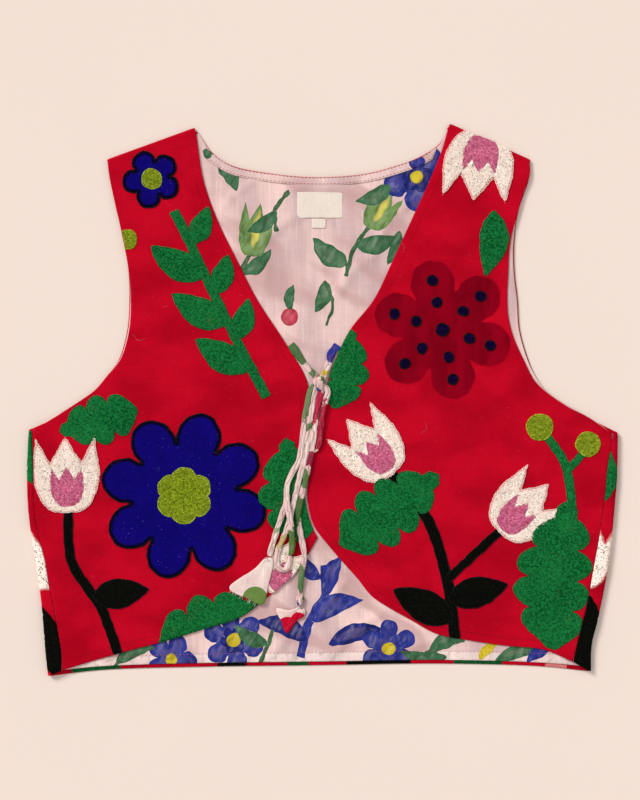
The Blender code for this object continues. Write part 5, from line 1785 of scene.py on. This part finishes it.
def link_template(length, width, strand, count=8, sides=4):
    """One chain link, lying along x: a loop of thread, narrow where the next link holds it down."""
    t = np.arange(count) * 2 * math.pi / count
    x = length / 2 * np.cos(t)
    y = width / 2 * np.sin(t) * (0.80 - 0.35 * np.cos(t))
    z = 0.20 + 0.12 * np.cos(t / 2) ** 2
    line = np.column_stack([x, y, z])
    along = np.roll(line, -1, axis=0) - np.roll(line, 1, axis=0)
    along /= np.linalg.norm(along, axis=1)[:, None]
    across = np.cross(along, [0, 0, 1.0])
    angles = np.arange(sides) * 2 * math.pi / sides + math.pi / 4
    ring = line[:, None] + strand * (np.cos(angles)[None, :, None] * across[:, None]
                                     + np.sin(angles)[None, :, None] * np.array([0, 0, 0.6]))
    faces = []
    rows = []
    for i in range(count):
        j = (i + 1) % count
        for k in range(sides):
            n = (k + 1) % sides
            faces.append((i * sides + k, j * sides + k, j * sides + n, i * sides + n))
            rows += [(i, k / sides), (i + 1, k / sides), (i + 1, (k + 1) / sides), (i, (k + 1) / sides)]
    return ring.reshape(-1, 3), np.array(faces), np.array(rows, float)


def chain_links(name, outline, patches, finish, surface, material):
    """Rows of chain stitch that follow each motif's edge inwards until they fill it."""
    centres = []
    directions = []
    for number, patch in enumerate(patches):
        if patch.finish != finish:
            continue
        for turn in range(24):
            runs = drawn_in(patch.outline, RIM_ROW + turn * CHAIN_ROW)
            if not runs:
                break
            for run in runs:
                if len(run) < 4:
                    continue
                places = respaced(run, CHAIN_LINK * 0.96)
                mids = (places[1:] + places[:-1]) / 2
                ways = places[1:] - places[:-1]
                kept = showing(mids, outline, patches, number, 1.2)
                centres.append(mids[kept])
                directions.append(ways[kept])
    centres = np.vstack(centres)
    directions = np.vstack(directions)
    draw = np.random.RandomState(len(name))
    centres = centres + draw.uniform(-0.25, 0.25, centres.shape)
    bearing = np.arctan2(directions[:, 1], directions[:, 0]) + draw.uniform(-0.3, 0.3, len(centres))
    size = draw.uniform(0.9, 1.12, len(centres))
    template, quads, rows = link_template(CHAIN_LINK * 1.12, CHAIN_ROW * 0.86, CHAIN_ROW * 0.15)
    c = (np.cos(bearing) * size)[:, None]
    s = (np.sin(bearing) * size)[:, None]
    plan = np.stack([centres[:, :1] + c * template[:, 0] - s * template[:, 1],
                     centres[:, 1:] + s * template[:, 0] + c * template[:, 1]], axis=2)
    middle, _ = with_normals(surface, centres)
    base = middle[:, 2] + COTTON / 2 + stitched_height(centres, patches) - 0.12
    base += draw.uniform(-0.06, 0.08, len(centres))
    height = base[:, None] + template[:, 2]
    points = np.concatenate([plan, height[..., None]], axis=2).reshape(-1, 3)
    faces = (quads[None] + len(template) * np.arange(len(centres))[:, None, None]).reshape(-1, 4)
    return add_mesh(name, points, faces.tolist(), [material], None, np.tile(rows, (len(centres), 1)))


def topstitching(name, runs, surface, patches, radius, lift, material, face=1):
    """Short straight stitches in a row along each run, each dipping into the cloth at its ends."""
    lines = []
    ups = []
    radii = []
    pace = TOPSTITCH + TOPSTITCH_GAP
    for run in runs:
        places = respaced(run, pace / 4)
        middle, normal = with_normals(surface, places)
        height = COTTON / 2 + (stitched_height(places, patches) if patches else 0)
        top = middle + face * normal * (height + lift if np.isscalar(height) else (height + lift)[:, None])
        for first in range(0, len(places) - 4, 4):
            if patches and height[first:first + 4].max() > COTTON / 2 + 0.2:
                continue
            line = top[first:first + 4].copy()
            up = normal[first:first + 4] * face
            line -= up * np.array([0.3, 0, 0, 0.3])[:, None]
            lines.append(line)
            ups.append(up)
            radii.append(np.full(4, radius))
    return tubes(name, lines, ups, radii, 4, material)


def cut_size(outline):
    """A flat piece's width, length and area in metres."""
    ring = np.array(outline)
    width, length = (ring.max(axis=0) - ring.min(axis=0)) * MM
    after = np.roll(ring, -1, axis=0)
    area = abs((ring[:, 0] * after[:, 1] - ring[:, 1] * after[:, 0]).sum()) / 2 * MM**2
    return (float(width), float(length)), float(area)


def part_of_run(run, keep):
    """The stretches of a run where keep holds."""
    held = keep(run)
    pieces = np.split(np.arange(len(run)), np.flatnonzero(np.diff(held.astype(int))) + 1)
    return [run[piece] for piece in pieces if held[piece[0]] and len(piece) > 4]


def make_front(side, palette, threads):
    outline = front_outline(side)
    patches = patches_of(side)
    surface = front_surface(side)
    fold_at, fold_end, outward = shoulder_line(side, SHOULDER_REACH)
    turned_rows = np.array([fold_at + (fold_end - fold_at) * t + outward * past
                            for t in np.linspace(0.03, 0.97, 26)
                            for past in np.linspace(-1.5, SHOULDER_TURN - 0.9, 7)])
    turned_rows = turned_rows[depth_in(turned_rows, outline) > 0.4]
    loose = dressed_points(outline, patches, *FRONT_GRID)
    loose = np.vstack([loose, turned_rows])
    inner = np.vstack([staggered(outline, 5.0, 2.0), turned_rows])
    cloth = dressed_wall(f"front_{side}_cloth", outline, surface, COTTON, patches, palette, loose=loose,
                         inner_points=inner)
    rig.replaces(cloth, "front_" + side)
    on_cloth = []
    for finish, thread_name in EDGING_THREAD.items():
        runs = edging_runs(outline, patches, finish)
        if runs:
            on_cloth.append(lay_threads(f"front_{side}_{finish}_edging", runs, surface, patches,
                                        threads[thread_name]))
    for finish, thread_name in LINKED_FINISHES.items():
        on_cloth.append(chain_links(f"front_{side}_{finish}_chain", outline, patches, finish, surface,
                                    threads[thread_name]))
    seam = smooth_curve(SEAM[side], 12.0)

    def free_edge(run):
        return ((distance_to(run, seam) > TOPSTITCH_CLEAR) & ((run - fold_at) @ outward < -4)
                & (distance_to(run, FRONT_ARMHOLE[side]) > TOPSTITCH_CLEAR))

    runs = [part for run in drawn_in(outline, TOPSTITCH_INSET) for part in part_of_run(run, free_edge)]
    on_cloth.append(topstitching(f"front_{side}_topstitch", runs, surface, patches, 0.24, 0.08,
                                 threads["dark_red"]))
    size, area = cut_size(outline)
    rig.sheet(cloth, flat=size, held="laid", rests_on=["lining_cloth"], area=area, with_pieces=on_cloth)
    return [cloth] + on_cloth


def back_relief(plan, height):
    """Proud embroidery on the turned-up strips. Below, it rests on the floor, and the cloth lies clear."""
    proud = np.zeros(len(plan))
    for side, sign in SIGN.items():
        past = sign * (plan[:, 0] - fold_start(side, plan[:, 1]))
        proud = np.maximum(proud, np.clip((past - 4) / 4, 0, 1))
    resting = BACK_CLEAR * (np.clip(height / RELIEF, 0, 1) - 1) - crease_height(BACK_TROUGHS, plan)
    edge = np.clip(proud * 8, 0, 1)
    return 0.6 * height * proud + np.maximum(resting, -0.85) * (1 - edge)


def hem_finish(centres):
    """What shows of the back's inner side: red cotton, and the motifs that wrap over the hem."""
    kinds = np.full(len(centres), "cotton", object)
    hem = smooth_curve([(-254, -255)] + BACK_HEM + [(251, -251)], 12.0)
    low = distance_to(centres, hem) < 6.5
    for finish, start, end in HEM_WRAPS:
        kinds[low & (centres[:, 0] > start) & (centres[:, 0] < end)] = finish
    return kinds


def make_back(palette):
    outline = back_outline(SHOULDER_REACH - SHOULDER_FOLD + COTTON + GAP)
    patches = patches_of("back")
    columns = np.array([(fold_start(side, y) + sign * STRIP_TURN * part, y)
                        for side, sign in SIGN.items()
                        for y in np.arange(SIDE_CORNER[side][1] + 3, SEAM[side][0][1] - 1, 4.0)
                        for part in TURN_PARTS])
    columns = columns[depth_in(columns, outline) > 0.8]
    loose = np.vstack([dressed_points(outline, patches, *BACK_GRID), columns])
    hem_rows = [run for inset in (1.0, 2.2, 3.6, 5.2) for run in drawn_in(outline, inset)]
    hem_rows = np.vstack(hem_rows)
    hem_rows = hem_rows[hem_rows[:, 1] < -236]
    inner = np.vstack([staggered(outline, 12.0, 7.0), columns, hem_rows])

    cloth = dressed_wall("back_cloth", outline, back_surface, COTTON, patches, palette, outer=-1, loose=loose,
                         inner_points=inner, relief=back_relief, inner_finish=hem_finish)
    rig.replaces(cloth, "back")
    size, area = cut_size(outline)
    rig.sheet(cloth, flat=size, held="folded", rests_on=["floor"], area=area)
    return [cloth]


def lining_hem_line():
    """Where the row of stitches holds the lining's turned-up hem."""
    hem = smooth_curve([(-238, -247)] + [(x, y + LINING_HEM_INSET) for x, y in BACK_HEM] + [(238, -243)], 3.0)
    return hem + [0, 8.5]


def lining_patches():
    line = lining_hem_line()
    band = [tuple(p) for p in line - [0, 10.5]] + [tuple(p) for p in line[::-1]]
    sprigs = [Patch(row.ink, hand_cut(outline_of(row.shape), 60 + seed, 0.6), False)
              for seed, row in enumerate(LINING_PRINT)]
    return [Patch("band", band, False)] + sprigs


def make_lining(palette, threads):
    outline = lining_outline()
    patches = lining_patches()
    inks = {ink: (*seen(*tone), INK_AMOUNT.get(ink, 1.0)) for ink, tone in INKS.items()}
    grid = np.vstack([dressed_points(outline, patches, *LINING_GRID)]
                     + [staggered(opening, 2.4, 3.0) for opening in lining_open()])
    grid = grid[depth_in(grid, outline) > 0.3]
    cloth = dressed_wall("lining_cloth", outline, lining_surface, VOILE, patches, palette, loose=grid,
                         inner_points=staggered(outline, 14.0, 8.0), inks=inks)
    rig.replaces(cloth, "back_lining")
    stitches = topstitching("lining_hem_stitch", [lining_hem_line()], lining_surface, (), 0.2, -0.06,
                            threads["rose_fine"])
    size, area = cut_size(outline)
    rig.sheet(cloth, flat=size, held="laid", rests_on=["back_cloth"], area=area, with_pieces=[stitches])
    return [cloth, stitches]


def make_facing(palette, threads):
    """The bias strip along the back neck, with the row of stitches that holds its lower edge."""
    line = smooth_curve([(-111.5, 238.5)] + BACK_NECK[2:-2] + [(109, 237.5)], 3.0)
    across = right_of(np.gradient(line, axis=0))
    upper = [tuple(p) for p in line + 0.6 * across if FACING_ENDS[0][0] < p[0] < FACING_ENDS[0][1]]
    lower = [tuple(p) for p in line + FACING_WIDTH * across if FACING_ENDS[1][0] < p[0] < FACING_ENDS[1][1]]
    outline = lower + upper[::-1]

    def surface(plan):
        ripple = 0.10 * (1 + unevenness(plan, 9.0, 17))
        return np.column_stack([plan, ON_LINING + VOILE / 2 - 0.15 + ripple])

    inks = {ink: (*seen(*INKS[ink]), 1.0) for ink in ("leaf", "spray")}
    prints = [Patch("leaf", hand_cut(disc(-106, 230, 5, 14), 5, 0.7), False),
              Patch("spray", hand_cut(disc(88, 222, 7, 16), 6, 0.9), False)]
    cloth = dressed_wall("facing_cloth", outline, surface, VOILE, prints, palette,
                         loose=dressed_points(outline, prints, *FACING_GRID),
                         inner_points=staggered(outline, 6, 2),
                         inks=inks)
    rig.replaces(cloth, "neck_facing")
    row = line + (FACING_WIDTH - 1.5) * across
    row = row[(row[:, 0] > -106) & (row[:, 0] < 104)]
    stitches = topstitching("facing_stitch", [row], surface, (), 0.2, -0.06, threads["dark_red"])
    rim_line = line + 1.0 * across
    rim_line = rim_line[(rim_line[:, 0] > -106) & (rim_line[:, 0] < 104)]
    rim = topstitching("facing_rim_stitch", [rim_line], surface, (), 0.2, -0.06, threads["dark_red"])
    size, area = cut_size(outline)
    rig.sheet(cloth, flat=(0.236, 0.0115), held="laid", rests_on=["lining_cloth"], area=area,
             with_pieces=[stitches, rim])
    return [cloth, stitches, rim]


def make_label(name, node, place, palette, threads, seed):
    """A bare woven label, held by a row of stitches along its top."""
    x, y, width, height = place
    corners = [(-0.5, -0.5), (0.5, -0.5), (0.5, 0.5), (-0.5, 0.5)]
    outline = hand_cut([(x + width * u, y + height * v) for u, v in corners], seed, 0.18)

    def surface(plan):
        curl = 0.5 * np.clip((y - plan[:, 1]) / height, 0, 1) ** 2
        return np.column_stack([plan, ON_LINING + 0.35 + curl * (1 + 0.5 * unevenness(plan, 22.0, seed))])

    cloth = dressed_wall(name, outline, surface, 0.6, [], palette,
                         loose=dressed_points(outline, [], *LABEL_GRID),
                         inner_points=staggered(outline, 4, 1.5))
    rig.replaces(cloth, node)
    across = np.linspace(x - width / 2 + 1.2, x + width / 2 - 1.2, 30)
    row = np.column_stack([across, np.full(30, y + height / 2 - 1.3)])
    stitches = topstitching(name + "_stitch", [row], surface, (), 0.16, -0.32, threads["cream_fine"])
    size, area = cut_size(outline)
    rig.sheet(cloth, flat=(max(size[0], 0.0101), max(size[1], 0.0101)), held="laid", rests_on=["lining_cloth"],
             area=area, with_pieces=[stitches])
    return [cloth, stitches]


def make_stray_threads(material):
    """A few ends of lint and sewing thread that lie on the fronts."""
    rows = [((-176, 62), (-170, 56), (-164, 58)), ((72, 150), (76, 144), (75, 138)),
            ((92, -30), (97, -26), (96, -20))]
    lines = []
    ups = []
    for side, route in zip(("left", "right", "right"), rows):
        places = smooth_curve(list(route), 1.5)
        middle, normal = with_normals(front_surface(side), places)
        height = COTTON / 2 + stitched_height(places, patches_of(side)) + 0.2
        lines.append(middle + normal * height[:, None])
        ups.append(normal)
    return tubes("stray_threads", lines, ups, [np.full(len(line), 0.13) for line in lines], 4, material)


def make_threads():
    return {
        "green": thread("green_thread", (28, 122, 62), (8, 84, 38)),
        "black": thread("black_thread", (20, 20, 26), (6, 6, 10)),
        "lime": thread("lime_thread", (174, 190, 50), (124, 142, 18)),
        "white": thread("white_thread", (276, 258, 244), (264, 240, 224)),
        "pink": thread("pink_thread", (244, 142, 176), (198, 78, 122)),
        "dark_red": thread("dark_red_thread", (158, 12, 30), (128, 4, 22)),
        "rose_fine": thread("rose_fine_thread", (204, 118, 124), (172, 84, 94)),
        "cream_fine": thread("cream_fine_thread", (236, 224, 208), (214, 196, 178)),
    }


def length_of(line):
    return float(np.linalg.norm(np.diff(line, axis=0), axis=1).sum() * MM)


def make_ties():
    """The ties: two strips from the neck edges into a knot, and the strands that lie down the front."""
    material = tie_voile("tie_voile", 1.0)
    strips = {}
    lines = {}
    for seed, name in enumerate(TIES):
        strips[name], lines[name] = make_strip(name, seed + 3, material)
        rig.replaces(strips[name], name)
    knot = make_tie_knot("tie_knot_wrap", KNOT_CENTRE, KNOT_SIZE, FRONT_TOP - 0.4, 12, material)
    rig.replaces(knot, "tie_knot")
    end_knot = make_tie_knot("tie_end_knot_wrap", END_KNOT_CENTRE, END_KNOT_SIZE, ON_LINING - 0.2, -8,
                             material)
    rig.replaces(end_knot, "tie_end_knot")
    palette = {"cloth": tie_voile("flare_voile", 0.25)}
    flare_left = make_flare("tie_flare_left", FLARE_LEFT, FRONT_TOP - 0.8, palette)
    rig.replaces(flare_left, "tie_flare_left")
    flare_right = make_flare("tie_flare_right", FLARE_RIGHT, ON_LINING, palette)
    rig.replaces(flare_right, "tie_flare_right")
    frayed = make_frayed_threads(thread("frayed_thread", (246, 232, 222), (226, 204, 196)))
    extras = {"tie_loop": ([strips["tie_left"], strips["tie_right"], knot], "object"),
              "tie_fold": ([], "object"),
              "tie_tuck": ([], "bare"),
              "tie_end_right": ([end_knot, flare_right], "knot"),
              "tie_end_left": ([flare_left, frayed], "bare")}
    for name, (pieces, far_end) in extras.items():
        path = in_frame(lines[name])
        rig.cord(strips[name], exit=path[0], length=length_of(lines[name]), diameter=STRIP_WIDE * MM,
                far_end=far_end, stiffness="limp", lay="loose", path=path, with_pieces=pieces)
    return list(strips.values()) + [knot, end_knot, flare_left, flare_right, frayed]


def main():
    make_camera()
    made = make_ties()
    for piece in made:
        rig.slot(piece, "tie_voile")
    make_light()
    make_floor()
    threads = make_threads()
    cotton = {"cotton": red_cotton(), "dark_red": printed_red(), "green": green_stitching(),
              "black": black_stitching(), "blue": blue_stitching(), "lime": lime_stitching(),
              "white": white_stitching(), "pink": pink_stitching(), "navy": navy_stitching()}
    voile = {"cloth": printed_voile()}
    label = {"cloth": label_weave()}
    embroidered = make_back(cotton) + make_front("left", cotton, threads)
    embroidered += make_front("right", cotton, threads)
    embroidered.append(make_stray_threads(threads["rose_fine"]))
    lined = make_lining(voile, threads) + make_facing(voile, threads)
    labels = make_label("neck_label_tape", "neck_label", LABEL, label, threads, 41)
    labels += make_label("size_tab_tape", "size_tab", SIZE_TAB, label, threads, 42)
    slots = {"embroidered_cotton": embroidered, "printed_voile": lined, "woven_label": labels}
    for slot, pieces in slots.items():
        for piece in pieces:
            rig.slot(piece, slot)
    for piece in made + embroidered + lined + labels:
        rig.ride(piece, "root")
    boxes = [[list(corner) for corner in box] for box in (cad_box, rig.bounds())]
    with open("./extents.json", "w") as out:
        json.dump({"cad": boxes[0], "visual": boxes[1]}, out)


main()
